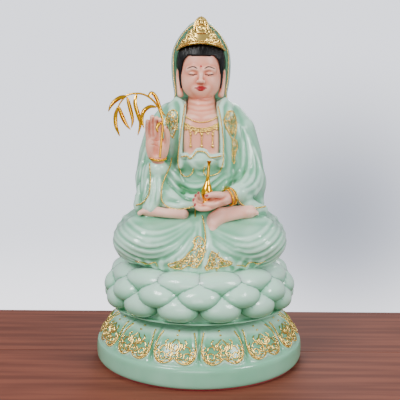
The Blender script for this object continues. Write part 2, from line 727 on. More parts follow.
beech = wood_material("beech_dowel", "#D9B88A", "#C29A68", (600, 600, 60))
board = wood_material("fibre_board", "#A98660", "#8E6C49", (900, 900, 900), 0.8)
steel = gold_material("bright_steel_pin", "#B9BCC0", 0.22, 0.34, 1.0, 0.1)
CAD_FINISHES = {
    "throne_core": jade_deep, "felt_pad": felt, "plinth_cover": board, "throne_dowels": beech,
    "figure_dowels": beech,
    "head_dowel": steel, "right_hand_dowel": steel, "left_hand_dowel": steel,
}
for node_name, material in CAD_FINISHES.items():
    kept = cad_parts[node_name]
    kept.data.materials.clear()
    kept.data.materials.append(material)

# %% [markdown]
# ## The robed body
# One large casting: crossed legs under a skirt, torso, arms under the shawl, and the hanging
# sleeves. It starts as plain columns and rolls, like an armature with clay on it. Then folds are
# laid on as long thin rolls that follow the surface: swags across the thighs and the waist,
# straight pleats in the sleeves and at the back.

# %% Robe: big forms
ROBE_LOW, ROBE_HIGH = (-104, -94, 104), (104, 86, 297)
robe = Clay(ROBE_LOW, ROBE_HIGH, 1.3)

# height, half width, depth to the front, depth to the back, squareness
robe.column([(108.5, 70, 80, 68, 2.1), (113, 73, 84, 71, 2.1), (118, 78, 84.5, 74, 2.1),
             (124, 86, 84, 76, 2.2),
             (130, 93, 83, 77, 2.25), (137, 96.5, 81, 76, 2.3), (144, 95.5, 77, 73, 2.3),
             (151, 91.5, 72, 69, 2.25), (158, 86, 66, 64, 2.2), (164, 79, 58, 58, 2.2),
             (170, 70, 49, 53, 2.2), (177, 58, 42, 48, 2.2)], k=0)
robe.column([(165, 52, 40, 50, 2.2), (182, 49, 38, 46, 2.2), (200, 47, 37, 43, 2.2), (220, 45, 38, 41, 2.2),
             (240, 43, 38.5, 39, 2.2), (256, 41, 37.5, 37, 2.2), (268, 38, 34, 35, 2.2),
             (278, 33, 28, 32, 2.2),
             (285, 29.5, 22, 29, 2.1), (289, 28, 19, 27, 2.1)], k=10)
for side in (-1, 1):
    # knees, shoulders and upper arms
    robe.egg((side * 58, -40, 138), (36, 42, 25), k=10, turn=(0, side * 6, side * -12))
    robe.roll([(side * 12, 6, 284, 12), (side * 33, 3, 273, 17), (side * 43, 0, 257, 19.5),
               (side * 50, -3, 230, 20), (side * 53, -6, 206, 20), (side * 50, -12, 188, 19)], k=9)
    robe.roll([(side * 53, -2, 190, 18), (side * 58, -20, 176, 14)], k=8)
print("body blocked out", robe.field.shape)

# %% [markdown]
# The raised arm comes forward from the elbow and its sleeve falls open to the lap. The other
# forearm crosses the waist and its sleeve hangs beside it.

# %% Robe: sleeves
robe.roll([(-55, -16, 203, 17), (-49, -34, 209, 13), (-45, -44, 215, 10)], k=6)
robe.roll([(-46, -42, 214, 8), (-47, -46, 200, 8.5), (-49, -50, 186, 9), (-53, -54, 174, 8)], k=4)
robe.roll([(-52, -38, 206, 9), (-58, -40, 190, 10), (-63, -42, 176, 9)], k=5)
robe.roll([(-42, -44, 186, 4), (-36, -53, 177.5, 3.4), (-22, -57, 175.6, 3.0), (-6, -55, 177, 2.6)], k=6)
robe.roll([(-20, -46, 180, 7), (0, -47, 182, 7), (20, -46, 181, 7)], k=8)
robe.roll([(57, -12, 199, 17.5), (50, -36, 193, 13.5), (41, -52, 190.5, 10.5)], k=6)
robe.roll([(43, -50, 188, 9), (50, -50, 179, 8), (60, -46, 173, 7), (68, -38, 171, 6)], k=4)
robe.roll([(36, -58, 190, 8.8), (38.5, -55, 190, 9.4)], k=3)
# shawl edges that hang over the chest on both sides
for side in (-1, 1):
    edge = robe.on_front([(side * 27, 281), (side * 29, 262), (side * 30, 240), (side * 30, 212)])
    robe.fold(edge, 8, 2.4, k=3, taper=0.3)
    flare = robe.on_front([(side * 24, 289), (side * 33, 282), (side * 39, 268), (side * 40, 250),
                           (side * 36, 236)])
    robe.fold(flare, 6, 2.4, k=3)
# the opening that the neck rises from, and the veil that stands round it
robe.column([(268, 18, 40, 17, 3), (276, 17.6, 40, 18, 3), (286, 17, 40, 20, 2.6), (302, 17, 40, 24, 2.4)],
            k=2, cut=True, centre=(1, -8))
robe.column([(228.5, 20, 14, 13, 6), (250, 19.4, 14, 13, 6), (272, 18.4, 14, 15, 6)], k=1.5, cut=True,
            centre=(1, -45))
robe.roll([(-17, -34, 223, 5.0), (-9, -36, 224, 5.4), (1, -36.4, 225, 5.8), (11, -36, 224, 5.4),
           (19, -34, 223, 5.0)], k=8)
robe.egg((0.5, -36.5, 226), (11, 5.0, 9), k=6)
for side in (-1, 1):
    robe.egg((side * 27, -12, 284), (8.5, 6.0, 9.5), k=5, turn=(-38, 0, 0))
    robe.egg((side * 28, -22, 275), (8.0, 5.0, 10.0), k=5, turn=(-38, 0, 0))
    robe.roll([(side * 27.5, -10, 293, 1.6), (1 + side * 23.5, -15.5, 289, 2.3),
               (1 + side * 20.6, -24, 282, 2.7),
               (1 + side * 21, -32, 272, 2.7), (1 + side * 21.8, -38, 258, 2.4),
               (1 + side * 22.6, -39.5, 240, 2.3),
               (1 + side * 23, -39, 218, 2.2)], k=4)
# cloth that fills the hollow between the raised forearm and the waist
robe.egg((-34, -32, 197), (13, 13, 25), k=8)
robe.egg((-44, -46, 186), (9, 8, 14), k=6)
robe.egg((-34, -43, 185), (13, 12, 9), k=6)
for side in (-1, 1):
    # the cloth that the toes rest on
    robe.egg((side * 57, -45, 157.5), (19, 14, 9), k=8)

# %% [markdown]
# Folds are listed as x and height where they can be seen from the front, or as angle and height
# where they run round the side and the back.

# %% Robe: folds seen from the front
def swag(start, end, sag, lean=0.5):
    """A hanging fold between two places: start and end are x and height, sag is how far it drops."""
    t = np.linspace(0, 1, 7)
    drop = np.sin(np.pi * t ** (math.log(0.5) / math.log(lean)))
    return [(start[0] + (end[0] - start[0]) * a, start[1] + (end[1] - start[1]) * a - sag * d)
            for a, d in zip(t, drop)]


FRONT_FOLDS = [
    # thigh on the left: fine swags from the heel out to the knee
    (swag((-12, 161), (-78, 161), 11), 2.2, 0.9), (swag((-10, 159), (-84, 158), 15), 2.2, 1.0),
    (swag((-9, 157), (-88, 154), 18, 0.48), 2.4, 1.1), (swag((-9, 154), (-91, 149), 20, 0.46), 2.5, 1.2),
    (swag((-8, 151), (-93, 143), 22, 0.45), 2.6, 1.3), (swag((-8, 147), (-93, 136), 22, 0.43), 2.8, 1.3),
    (swag((-8, 142), (-90, 129), 20, 0.42), 2.8, 1.3), (swag((-10, 136), (-82, 121), 16, 0.4), 2.8, 1.2),
    # thigh on the right
    (swag((16, 153), (78, 161), 12), 2.2, 0.9), (swag((14, 151), (84, 158), 16), 2.2, 1.0),
    (swag((12, 148), (88, 154), 19, 0.5), 2.4, 1.1), (swag((12, 145), (91, 149), 20, 0.52), 2.5, 1.2),
    (swag((12, 141), (93, 143), 21, 0.54), 2.6, 1.3), (swag((13, 137), (93, 136), 20, 0.55), 2.8, 1.3),
    (swag((14, 132), (89, 129), 17, 0.57), 2.8, 1.3), (swag((18, 127), (80, 121), 12, 0.58), 2.6, 1.1),
    # waist: deep curves under the chest
    (swag((-34, 216), (26, 213), 19, 0.46), 2.6, 1.1), (swag((-36, 208), (27, 206), 21, 0.46), 2.7, 1.3),
    (swag((-37, 200), (28, 199), 21, 0.46), 2.7, 1.3), (swag((-36, 192), (28, 193), 16, 0.48), 2.6, 1.2),
    (swag((-12, 224), (12, 224), 9), 2.0, 0.8), (swag((-9, 217), (13, 217), 8), 2.0, 0.8),
    # right arm's shawl: long curves from the shoulder to the crossing forearm
    ([(42, 262), (47, 240), (47, 220), (41, 207), (29, 200)], 2.6, 1.2),
    ([(47, 260), (53, 238), (54, 217), (47, 204), (34, 198)], 2.6, 1.2),
    ([(53, 252), (59, 232), (60, 213), (54, 202), (41, 196)], 2.6, 1.2),
    ([(60, 238), (65, 221), (65, 207), (59, 198), (47, 193)], 2.6, 1.2),
    ([(66, 222), (69, 208), (66, 196), (58, 189), (50, 186)], 2.4, 1.1),
    ([(38, 240), (42, 224), (38, 211), (28, 205)], 2.4, 1.0),
    # left arm's shawl: nearly straight down past the elbow
    ([(-50, 262), (-57, 240), (-61, 218), (-62, 198), (-60, 180)], 2.6, 1.2),
    ([(-56, 250), (-63, 228), (-66, 206), (-66, 188), (-64, 177)], 2.6, 1.2),
    ([(-45, 254), (-52, 234), (-57, 216), (-58, 198), (-57, 182)], 2.4, 1.1),
    ([(-66, 222), (-70, 206), (-70, 191), (-68, 179)], 2.4, 1.0),
    # sleeve that hangs from the raised wrist
    ([(-43.5, 208), (-43.5, 194), (-44.5, 179)], 1.9, 1.2),
    ([(-47.5, 207), (-48, 193), (-50, 177)], 1.9, 1.2),
    ([(-51.5, 205), (-52.5, 191), (-56, 177)], 1.9, 1.2), ([(-56, 203), (-58, 190), (-62, 178)], 1.9, 1.1),
    # apron between the feet
    ([(-3, 160), (-7, 145), (-16, 130), (-28, 118)], 2.0, 0.9),
    ([(1, 163), (0, 145), (-6, 130), (-14, 117)], 2.0, 0.9),
    ([(6, 163), (9, 146), (8, 132), (4, 117)], 2.0, 1.0),
    ([(11, 144), (13, 132), (19, 122), (26, 116)], 1.9, 0.9),
    ([(13, 138), (22, 126), (34, 118), (42, 115)], 1.9, 0.9),
    ([(-6, 150), (-18, 134), (-32, 123), (-44, 117)], 1.9, 0.9),
]
for places, width, height in FRONT_FOLDS:
    robe.fold(robe.on_front(places), width, height, k=2.2)

# %% Robe: grooves that sharpen the folds
FRONT_GROOVES = [
    (swag((-10, 155), (-90, 151), 19, 0.47), 1.3, -0.8), (swag((-9, 149), (-93, 139.5), 22, 0.44), 1.4, -0.9),
    (swag((14, 146.5), (90, 151), 20, 0.51), 1.3, -0.8), (swag((13, 139), (93, 139.5), 20, 0.545), 1.4, -0.9),
    (swag((-35, 212), (26, 209.5), 20, 0.46), 1.4, -0.9),
    (swag((-36, 204), (27, 202.5), 21, 0.46), 1.4, -0.9),
    ([(44.5, 260), (50, 239), (50.5, 218), (44, 205.5), (31, 199)], 1.3, -0.8),
    ([(57, 243), (62, 226), (62.5, 210), (56.5, 200), (44, 194.5)], 1.3, -0.8),
    ([(-53, 256), (-60, 234), (-63.5, 212), (-64, 193), (-62, 179)], 1.3, -0.8),
    ([(-45.5, 207), (-46, 193), (-47.5, 178)], 1.2, -0.9),
    ([(-49.5, 206), (-50.5, 192), (-53, 177)], 1.2, -0.9),
    ([(-54, 204), (-55.5, 190), (-59, 178)], 1.2, -0.9),
    ([(2, 160), (4, 145), (1, 131), (-3, 117)], 1.2, -0.8),
    ([(-5, 156), (-12, 138), (-22, 125), (-34, 116)], 1.2, -0.8),
]
for places, width, height in FRONT_GROOVES:
    robe.fold(robe.on_front(places), width, height, k=1.6)

# %% [markdown]
# The back is a plain cloak with broad pleats from the shoulders to the seat. They are spaced by
# a rule, with a small seeded variation so that they look hung and not ruled.

# %% Robe: back and sides
random.seed(38)
BACK_PLEATS = 9
for k in range(BACK_PLEATS):
    angle = 108 + 144 * k / (BACK_PLEATS - 1) + random.uniform(-5, 5)
    bend = (angle - 180) * 0.14 + random.uniform(-5, 5)
    top = 268 - abs(angle - 180) * 0.2 - random.uniform(0, 26)
    foot = 128 + random.uniform(0, 14)
    places = robe.on_round([(angle - bend, top), (angle, 236), (angle + bend * 0.9, 205),
                            (angle + bend, 180), (angle + bend * 1.8, 158), (angle + bend * 2.4, foot)])
    robe.fold(places, 5.2 + random.uniform(-1.2, 0.8), 2.0 + random.uniform(-0.7, 0.4), k=4)
for side in (-1, 1):
    for drop in (0, 9, 18, 27):
        places = robe.on_round([(side * 70, 160 - drop * 0.9), (side * 92, 158 - drop),
                                (side * 118, 156 - drop * 1.1),
                                (side * 140, 150 - drop)])
        robe.fold(places, 3.4, 1.6, k=2.5)

# %% [markdown]
# The skirt's hem ruffles where it meets the throne, so a row of small rolls is set round its foot.

# %% Robe: hem
HEM_RUFFLES = 46
for k in range(HEM_RUFFLES):
    angle = 360 * (k + 0.5) / HEM_RUFFLES
    swing = 3.0 * math.sin(k * 2.4)
    places = robe.on_round([(angle + swing, 124), (angle, 117), (angle - swing * 0.6, 111)], step=2.5)
    robe.fold(places, 2.6, 1.5, k=2, taper=0.5)

robe_piece = robe.mesh("robe_casting")
on_statue(robe_piece, "jade_resin", "robed_body", material=jade)

# %% [markdown]
# ## Plinth
# The plinth has a plain upright wall, then a dome with fourteen hanging petals in low relief. It
# is a lathe shape whose radius is moved in and out by the relief, on a grid fine enough to carry
# it. Each panel ends in two lobes with a cusp between them.

# %% Plinth profile and relief
PLINTH_SIDE = [(113.5, 1.6), (116.2, 2.4), (117.6, 5), (118, 9), (118, 14), (117.6, 19), (116.6, 22),
               (114.6, 23.6),
               (112.4, 26.5), (110.2, 30), (107.6, 34.4), (104.8, 39), (101.4, 43.6), (96.5, 48), (90, 51.6),
               (82, 54.2), (75, 56.4), (70.3, 60)]
# half of a panel's outline: share of the half pitch, height
PANEL_HALF = [(0.78, 50.5), (0.86, 45), (0.885, 38), (0.85, 32), (0.70, 27.4), (0.46, 25.6), (0.22, 27),
              (0.0, 30.8)]


def plinth_radius(z):
    side = np.array(PLINTH_SIDE)
    fine = smooth_path(side, 1.0)
    return np.interp(z, fine[:, 1], fine[:, 0])


def panel_outline(step=1.2):
    """The outline in millimetres along the face: across and height."""
    half = np.array(PANEL_HALF)
    full = np.vstack([half, half[-2::-1] * [-1, 1]])
    half_pitch = math.radians(PETAL_PITCH / 2)
    across = full[:, 0] * half_pitch * plinth_radius(full[:, 1])
    left = smooth_path(np.column_stack([across[:8], full[:8, 1]]), step)
    right = smooth_path(np.column_stack([across[7:], full[7:, 1]]), step)
    return np.vstack([left, right[1:]])


OUTLINE = panel_outline()


def relief(across, z):
    """How far the face stands out at a place in a panel's own millimetres."""
    gap = np.full(across.shape, 1e9)
    for a, b in zip(OUTLINE[:-1], OUTLINE[1:]):
        d = b - a
        t = np.clip(((across - a[0]) * d[0] + (z - a[1]) * d[1]) / max(d @ d, 1e-9), 0, 1)
        gap = np.minimum(gap, np.hypot(across - a[0] - t * d[0], z - a[1] - t * d[1]))
    half_pitch = math.radians(PETAL_PITCH / 2)
    edge = half_pitch * plinth_radius(z) - np.abs(across)
    band = np.clip((z - 23.5) / 4, 0, 1) * np.clip((54 - z) / 5, 0, 1)
    lip = 1.1 * np.exp(-((gap - 1.6) / 1.1) ** 2)
    groove = -2.2 * np.exp(-(edge / 1.7) ** 2)
    pillow = 1.2 * np.clip(1 - (across / 24) ** 2, 0, 1)
    return band * (lip + groove + pillow)


def plinth_at(across, z, sector, lift):
    """A point on the plinth's face, at a place in the given panel, lifted off it."""
    radius = plinth_radius(z)
    angle = math.radians((sector + 0.5) * PETAL_PITCH) + across / radius
    out = radius + relief(across, z) + lift
    return np.stack([out * np.sin(angle), -out * np.cos(angle), z + lift * 0.6], -1)


# %% Plinth mesh
def plinth_mesh():
    per_sector = 44
    side = smooth_path(PLINTH_SIDE, 0.85)
    side = side[np.concatenate([[True], np.diff(side[:, 1]) > 0.05])]
    n = per_sector * PETALS
    step = np.arange(n)
    offset = ((step % per_sector) / per_sector - 0.5) * math.radians(PETAL_PITCH)
    angle = (step // per_sector + 0.5) * math.radians(PETAL_PITCH) + offset
    radius = side[:, 0][:, None]
    z = np.repeat(side[:, 1][:, None], n, 1)
    out = radius + relief(offset[None, :] * radius, z)
    rows = np.stack([out * np.sin(angle), -out * np.cos(angle), z], -1)
    inner = np.stack([np.vstack([[r * np.sin(angle), -r * np.cos(angle), np.full(n, h)]]).T for r, h in
                      ((60, 60), (30, 60), (60, 46), (91, 38), (103, 20), (103, 4.7), (106.7, 4.7),
                       (106.7, 1.6))])
    rings = [rows[k] for k in range(len(rows))] + [inner[0], inner[1]]
    under = [inner[k] for k in range(3, 8)]
    points = np.vstack(rings + [[[0, 0, 60]]] + under + [[[0, 0, 44]]])
    faces = []

    def bridge(a, b):
        for j in range(n):
            k = (j + 1) % n
            faces.append((a + j, a + k, b + k, b + j))

    for i in range(len(rings) - 1):
        bridge(i * n, (i + 1) * n)
    top, centre = (len(rings) - 1) * n, len(rings) * n
    faces.extend((top + j, top + (j + 1) % n, centre) for j in range(n))
    first = centre + 1
    last = first + (len(under) - 1) * n
    for i in range(len(under) - 1):
        bridge(first + i * n, first + (i + 1) * n)
    bridge(last, 0)
    cap = first + len(under) * n
    faces.extend((first + (j + 1) % n, first + j, cap) for j in range(n))
    return mesh_piece("plinth_casting", points, faces)


plinth = fix_normals(plinth_mesh())
places = points_of(plinth)
away = np.hypot(places[:, 0], places[:, 1])
height = places[:, 2]
stand = away - plinth_radius(np.clip(height, 1.6, 60))
shade = 0.34 - 0.13 * np.clip(stand, -2.5, 2.5)
shade = shade + 0.4 * np.clip((height - 26) / 8, 0, 1) - 0.55 * np.clip((height - 42) / 8, 0, 1)
shade = shade - 0.04 * np.clip((30 - height) / 20, 0, 1)
paint(plinth, "recess", np.clip(shade, 0, 1))
on_statue(plinth, "jade_resin", "plinth", material=jade)
print("plinth", len(plinth.data.polygons), "faces")

# %% [markdown]
# The gilding on each panel is a twisted cord round the edge and a scroll of leaves in the lower
# half. Half of the scroll is drawn and mirrored, and the fourteen panels repeat it.

# %% Plinth gilding
def spiral(centre, wide, turns, start, tight=0.22, steps=26):
    """A scroll that winds in to its middle."""
    t = np.linspace(0, 1, steps)
    r = wide * (1 - t) ** 0.8 + wide * tight * t
    a = math.radians(start) + turns * 2 * math.pi * t
    return np.column_stack([centre[0] + r * np.cos(a), centre[1] + r * np.sin(a)])


HALF_SCROLL = [
    spiral((12.2, 31.6), 4.6, 1.5, 200), spiral((5.0, 33.6), 2.8, -1.3, 20),
    spiral((18.0, 34.5), 2.5, 1.2, 260),
    smooth_path([(16.5, 29.2), (20.0, 33.0), (19.6, 37.8), (16.4, 40.6)], 0.8),
    smooth_path([(15.6, 36.2), (13.6, 39.6), (9.8, 40.2), (8.4, 37.2)], 0.8),
    smooth_path([(8.6, 40.0), (10.6, 43.4), (8.0, 45.8)], 0.8),
    smooth_path([(0.4, 32.5), (3.8, 37.6), (4.6, 42.0), (0.6, 46.2)], 0.8),
    smooth_path([(0.5, 36.0), (2.4, 39.5), (0.5, 42.5)], 0.8),
    smooth_path([(5.4, 37.0), (7.0, 40.2), (5.6, 43.4)], 0.8),
    smooth_path([(9.0, 28.2), (14.0, 27.4), (18.0, 30.0)], 0.8),
    smooth_path([(1.6, 31.8), (5.0, 29.6), (8.4, 30.0)], 0.8),
]
cord_paths, scroll_paths, dot_paths = [], [], []
for sector in range(PETALS):
    cord_paths.append(plinth_at(OUTLINE[:, 0], OUTLINE[:, 1], sector, 0.5))
    for half in HALF_SCROLL:
        for side in (-1, 1):
            scroll_paths.append(plinth_at(side * half[:, 0], half[:, 1], sector, 0.35))
    for z, size in ((49.0, 0.9), (51.6, 0.6)):
        for k in range(2):
            x = np.array([-0.3, 0.3]) * size
            dot_paths.append(plinth_at(x, np.array([z, z + 0.02]) + 0.01 * k, sector, 0.5))
plinth_cord = bead_rows("plinth_gold_cord", cord_paths, 0.85, 1.5, gold_paint, 1.5, 0.75)
on_statue(plinth_cord, "gilded_trim")
plinth_scroll = tubes("plinth_gold_scroll", scroll_paths, 0.86, 6, 0.8, 0.4)
on_statue(plinth_scroll, "gilded_trim", material=gold_paint)
plinth_dots = bead_rows("plinth_gold_dots", dot_paths, 1.0, 3.0, gold_paint, 1.0, 0.0)
on_statue(plinth_dots, "gilded_trim")
print("panels", PETALS, "scroll lines", len(scroll_paths))

# %% [markdown]
# ## Painted skin
# The face, neck, hands and feet are sprayed a warm pink over the casting, with a deeper tone
# airbrushed into the hollows. Lips and nails are a red enamel touched in by brush. The mesh
# attribute called enamel says where, and recess again gives the hollows.

# %% Skin
SKIN_LIGHT, SKIN_MID, SKIN_DEEP, ENAMEL_RED = "#F8BDA5", "#E58E72", "#B5563C", "#A00814"


def skin_material(name, light, mid, deep):
    material, tree = new_material(name)
    recess = add(tree, "ShaderNodeAttribute", attribute_name="recess").outputs["Fac"]
    cloud = add(tree, "ShaderNodeMapRange", {"Value": object_noise(tree, 14, 2), "To Min": -0.07,
                                             "To Max": 0.07})
    depth = add(tree, "ShaderNodeMath", {0: recess, 1: cloud.outputs[0]}, operation="ADD",
                use_clamp=True).outputs[0]
    base = ramp(tree, depth, [(0.0, light), (0.45, mid), (1.0, deep)])
    mask = add(tree, "ShaderNodeAttribute", attribute_name="enamel").outputs["Fac"]
    mix = add(tree, "ShaderNodeMix", data_type="RGBA")
    tree.links.new(mask, mix.inputs[0])
    tree.links.new(base, mix.inputs[6])
    mix.inputs[7].default_value = colour(ENAMEL_RED)
    rough = add(tree, "ShaderNodeMapRange", {"Value": mask, "To Min": 0.42, "To Max": 0.3}).outputs[0]
    shader = add(tree, "ShaderNodeBsdfPrincipled", {
        "Base Color": mix.outputs[2], "Roughness": rough, "IOR": 1.5, "Subsurface Weight": 0.18,
        "Subsurface Radius": (1.0, 0.5, 0.35), "Subsurface Scale": 0.002, "Coat Weight": 0.12,
        "Coat Roughness": 0.25})
    return finish_material(tree, shader, material)


def plain_gloss(name, code, dark, rough, grain_mm=2.0, coat=0.0, shine=0.5):
    """A painted finish whose tone drifts a little between two colours."""
    material, tree = new_material(name)
    base = ramp(tree, object_noise(tree, grain_mm, 2), [(0.3, dark), (0.7, code)])
    gloss = add(tree, "ShaderNodeMapRange", {"Value": object_noise(tree, grain_mm * 0.4),
                                             "To Min": rough * 0.8,
                                             "To Max": rough * 1.25}).outputs[0]
    shader = add(tree, "ShaderNodeBsdfPrincipled", {
        "Base Color": base, "Roughness": gloss, "IOR": 1.5, "Specular IOR Level": shine,
        "Coat Weight": coat, "Coat Roughness": 0.1})
    return finish_material(tree, shader, material)


skin = skin_material("skin_paint_satin", SKIN_LIGHT, SKIN_MID, SKIN_DEEP)
foot_skin = skin_material("skin_paint_pale", "#FFC9B5", "#F4A78F", "#C8705A")
hair_paint = plain_gloss("black_hair_paint", "#070505", "#030202", 0.36, 3.0, shine=0.22)
line_paint = plain_gloss("dark_line_paint", "#2A1D1A", "#1A1110", 0.5)
red_enamel = plain_gloss("red_enamel", "#C01525", "#A00E1B", 0.2, 2.0, 0.3)


def enamel_near(piece, rolls):
    """Marks the points of a skin piece that lie within any of the rolls: x, y, z, radius."""
    places = points_of(piece)
    mark = np.zeros(len(places))
    for a, b in rolls:
        a, b = np.array(a, float), np.array(b, float)
        d = b[:3] - a[:3]
        t = np.clip((places - a[:3]) @ d / max(d @ d, 1e-9), 0, 1)
        gap = np.linalg.norm(places - a[:3] - t[:, None] * d, axis=1) - (a[3] + t * (b[3] - a[3]))
        mark = np.maximum(mark, np.clip(0.5 - gap / 0.35, 0, 1))
    paint(piece, "enamel", mark)


# %% [markdown]
# ## Neck and chest
# A bare panel between the two edges of the shawl, nearly flat, that runs up into a neck with
# three soft rings.

# %% Neck and chest
chest = Clay((-26, -48, 226), (29, 14, 306), 0.75)
chest.column([(229, 20.6, 40.6, 18, 7), (245, 20.6, 41.2, 18, 7), (260, 20.4, 40.2, 18, 6),
              (270, 20, 37.5, 17, 4),
              (278, 18.8, 33.0, 16, 2.5), (284, 17, 28.0, 14, 2.2), (290, 15.8, 24.6, 13, 2.1),
              (297, 15.3, 23.4, 12, 2), (306, 15.2, 23.2, 11, 2)], k=0, centre=(1.0, 0))
for height in (278.0, 284.0, 290.0):
    chest.fold(chest.on_front([(-14, height + 3.2), (-7, height + 0.8), (1, height), (9, height + 0.8),
                               (15, height + 3.2)],
                              step=1.5), 1.4, -0.5, k=1.6)
for side in (-1, 1):
    chest.fold(chest.on_front([(1 + side * 3, 269.5), (1 + side * 10, 271.5), (1 + side * 17, 273)],
                              step=1.5), 2.2, 0.8, k=2)
chest_piece = chest.mesh("neck_and_chest_casting", 4.0)
enamel_near(chest_piece, [])
on_statue(chest_piece, "painted_skin", "neck_and_chest", material=skin)

# %% [markdown]
# ## Head
# The face is a plain, calm one laid out by the rule that drawing books teach: hairline, brow,
# base of the nose and chin are a third of the face apart, the face is five eyes wide, and the
# mouth is one and a half eyes wide. The lids are half closed.

# %% Face proportions
HAIRLINE, CHIN = 336.0, 292.0
third = (HAIRLINE - CHIN) / 3
BROW = HAIRLINE - third
NOSE_BASE = BROW - third
EYE = BROW - third * 0.28
MOUTH = NOSE_BASE - third * 0.36
FACE_WIDE = 43.0
EYE_WIDE = FACE_WIDE / 5
print("brow", round(BROW, 1), "eye", round(EYE, 1), "nose", round(NOSE_BASE, 1), "mouth", round(MOUTH, 1))

# %% Head clay
head = Clay((-31, -44, 286), (31, 22, 362), 0.6)
head.egg((0, -8, 331), (24.4, 25.5, 28.5), k=0)
head.egg((0, -14.5, 316.5), (22.0, 19.6, 22), k=5)
for side in (-1, 1):
    head.egg((side * 8.5, -18.6, NOSE_BASE), (11.5, 12.4, 12), k=6)
head.egg((0, -19, CHIN + 8), (12.5, 12, 8), k=6)
head.egg((0, -28, CHIN + 5), (4.2, 3.4, 3.4), k=5)
for side in (-1, 1):
    inner, outer = side * EYE_WIDE * 0.5, side * EYE_WIDE * 1.55
    head.roll([(inner, -32.6, BROW + 0.3, 1.9), (side * EYE_WIDE, -32.2, BROW + 1.2, 2.1),
               (outer, -29.4, BROW + 0.2, 1.9)], k=4)
    head.egg((side * EYE_WIDE, -36.6, EYE - 0.2), (5.2, 4.4, 3.0), k=3, cut=True)
    head.egg((side * EYE_WIDE, -29.9, EYE), (4.9, 3.5, 2.9), k=1.0)
    lash = [(side * EYE_WIDE - 4.3, EYE - 0.6), (side * EYE_WIDE, EYE - 1.5),
            (side * EYE_WIDE + 4.3, EYE - 0.6)]
    head.fold(head.on_front(lash, step=1), 0.55, -0.5, k=0.6)
nose_tip = (0, -36.8, NOSE_BASE + 1.9)
head.roll([(0, -32.6, EYE + 2, 1.6), (0, -34.6, EYE - 4, 1.8),
           (nose_tip[0], nose_tip[1] + 0.6, nose_tip[2] + 1, 2.2)], k=3)
head.egg(nose_tip, (2.7, 2.4, 2.3), k=1.5)
for side in (-1, 1):
    head.egg((side * 2.9, -34.6, NOSE_BASE + 1.5), (1.9, 2.4, 1.7), k=1.2)
    head.egg((side * 1.4, -36.0, NOSE_BASE - 0.2), (0.6, 0.9, 0.5), k=0.4, cut=True)
MOUTH_HALF = EYE_WIDE * 0.72
head.egg((0, -30.2, MOUTH), (8.5, 3.4, 4.6), k=4)


def lip_front(x):
    """How far forward the face is at the mouth's height."""
    return head.on_front([(x - 0.05, MOUTH), (x + 0.05, MOUTH)], step=1)[0][1]


lip_x = [-MOUTH_HALF, -MOUTH_HALF * 0.62, -1.7, 0, 1.7, MOUTH_HALF * 0.62, MOUTH_HALF]
lip_depth = [lip_front(x) + 0.35 for x in lip_x]
upper_lip = [(x, y, MOUTH + rise, r) for x, y, rise, r in zip(
    lip_x, lip_depth, (0.45, 0.75, 1.25, 0.95, 1.25, 0.75, 0.45), (0.35, 0.75, 1.05, 0.95, 1.05, 0.75, 0.35))]
lower_lip = [(x, y, MOUTH + rise, r) for x, y, rise, r in zip(
    lip_x[1:-1], lip_depth[1:-1], (-0.65, -1.25, -1.35, -1.25, -0.65), (0.6, 1.15, 1.25, 1.15, 0.6))]
head.roll(upper_lip, k=0.7)
head.roll(lower_lip, k=0.7)
head.fold(head.on_front([(-MOUTH_HALF, MOUTH + 0.1), (0, MOUTH - 0.1), (MOUTH_HALF, MOUTH + 0.1)], step=1),
          0.5, -0.5, k=0.4)
for side in (-1, 1):
    # ears with long lobes
    head.egg((side * 24.6, -9, 318), (2.9, 5.4, 9.5), k=1.5, turn=(8, 0, side * 14))
    head.roll([(side * 24.6, -10.5, 311, 2.7), (side * 23.8, -12, 303, 3.0),
               (side * 22.6, -12.6, 297.0, 3.5)], k=1.5)
    head.egg((side * 26.4, -13.0, 318.5), (1.6, 2.6, 6.2), k=0.8, cut=True)
    head.roll([(side * 25.2, -15, 307, 0.7), (side * 24.0, -16, 299.5, 0.5)], k=0.6, cut=True)
head_piece = head.mesh("head_casting", 4.5)
enamel_near(head_piece, [(a, b) for lip in (upper_lip, lower_lip) for a, b in zip(
    [(p[0], p[1], p[2], p[3] + 0.35) for p in lip[:-1]], [(p[0], p[1], p[2], p[3] + 0.35) for p in lip[1:]])])
on_statue(head_piece, "painted_skin", "head", material=skin)

# %% Painted brows and lash lines
face_lines, face_normals = [], []
for side in (-1, 1):
    brow = head.on_front([(side * 3.6, BROW + 0.6), (side * 8.6, BROW + 3.0), (side * 15.2, BROW + 1.2)],
                         step=0.8)
    lash = head.on_front([(side * (EYE_WIDE - 4.6), EYE - 0.8), (side * EYE_WIDE, EYE - 1.6),
                          (side * (EYE_WIDE + 5.4), EYE - 0.2)], step=0.8)
    for line in (brow, lash):
        face_normals.append(head.slope(line))
        face_lines.append(line)
brows = tubes("brow_and_lash_lines", face_lines, 0.8, 8, 0.25, 0.85, face_normals)
on_statue(brows, "black_hair", material=line_paint)
crease_lines = [head.on_front([(side * (EYE_WIDE - 4.4), EYE + 1.2), (side * EYE_WIDE, EYE + 2.4),
                               (side * (EYE_WIDE + 4.8), EYE + 1.0)], step=0.8) for side in (-1, 1)]
lids = tubes("lid_crease_lines", crease_lines, 0.2, 6, 0.3, 0.8, [head.slope(line) for line in crease_lines])
on_statue(lids, "black_hair", material=plain_gloss("soft_brown_line", "#A8705E", "#96604F", 0.5))
spot = head.on_front([(-0.1, BROW + 3.4), (0.1, BROW + 3.4)], step=1)[0]
urna = Clay(spot - 3, spot + 3, 0.25)
urna.egg(spot + [0, 0.35, 0], (1.15, 0.9, 1.15), k=0)
urna_piece = urna.mesh("urna_dot")
on_statue(urna_piece, "red_enamel", "urna", material=red_enamel)

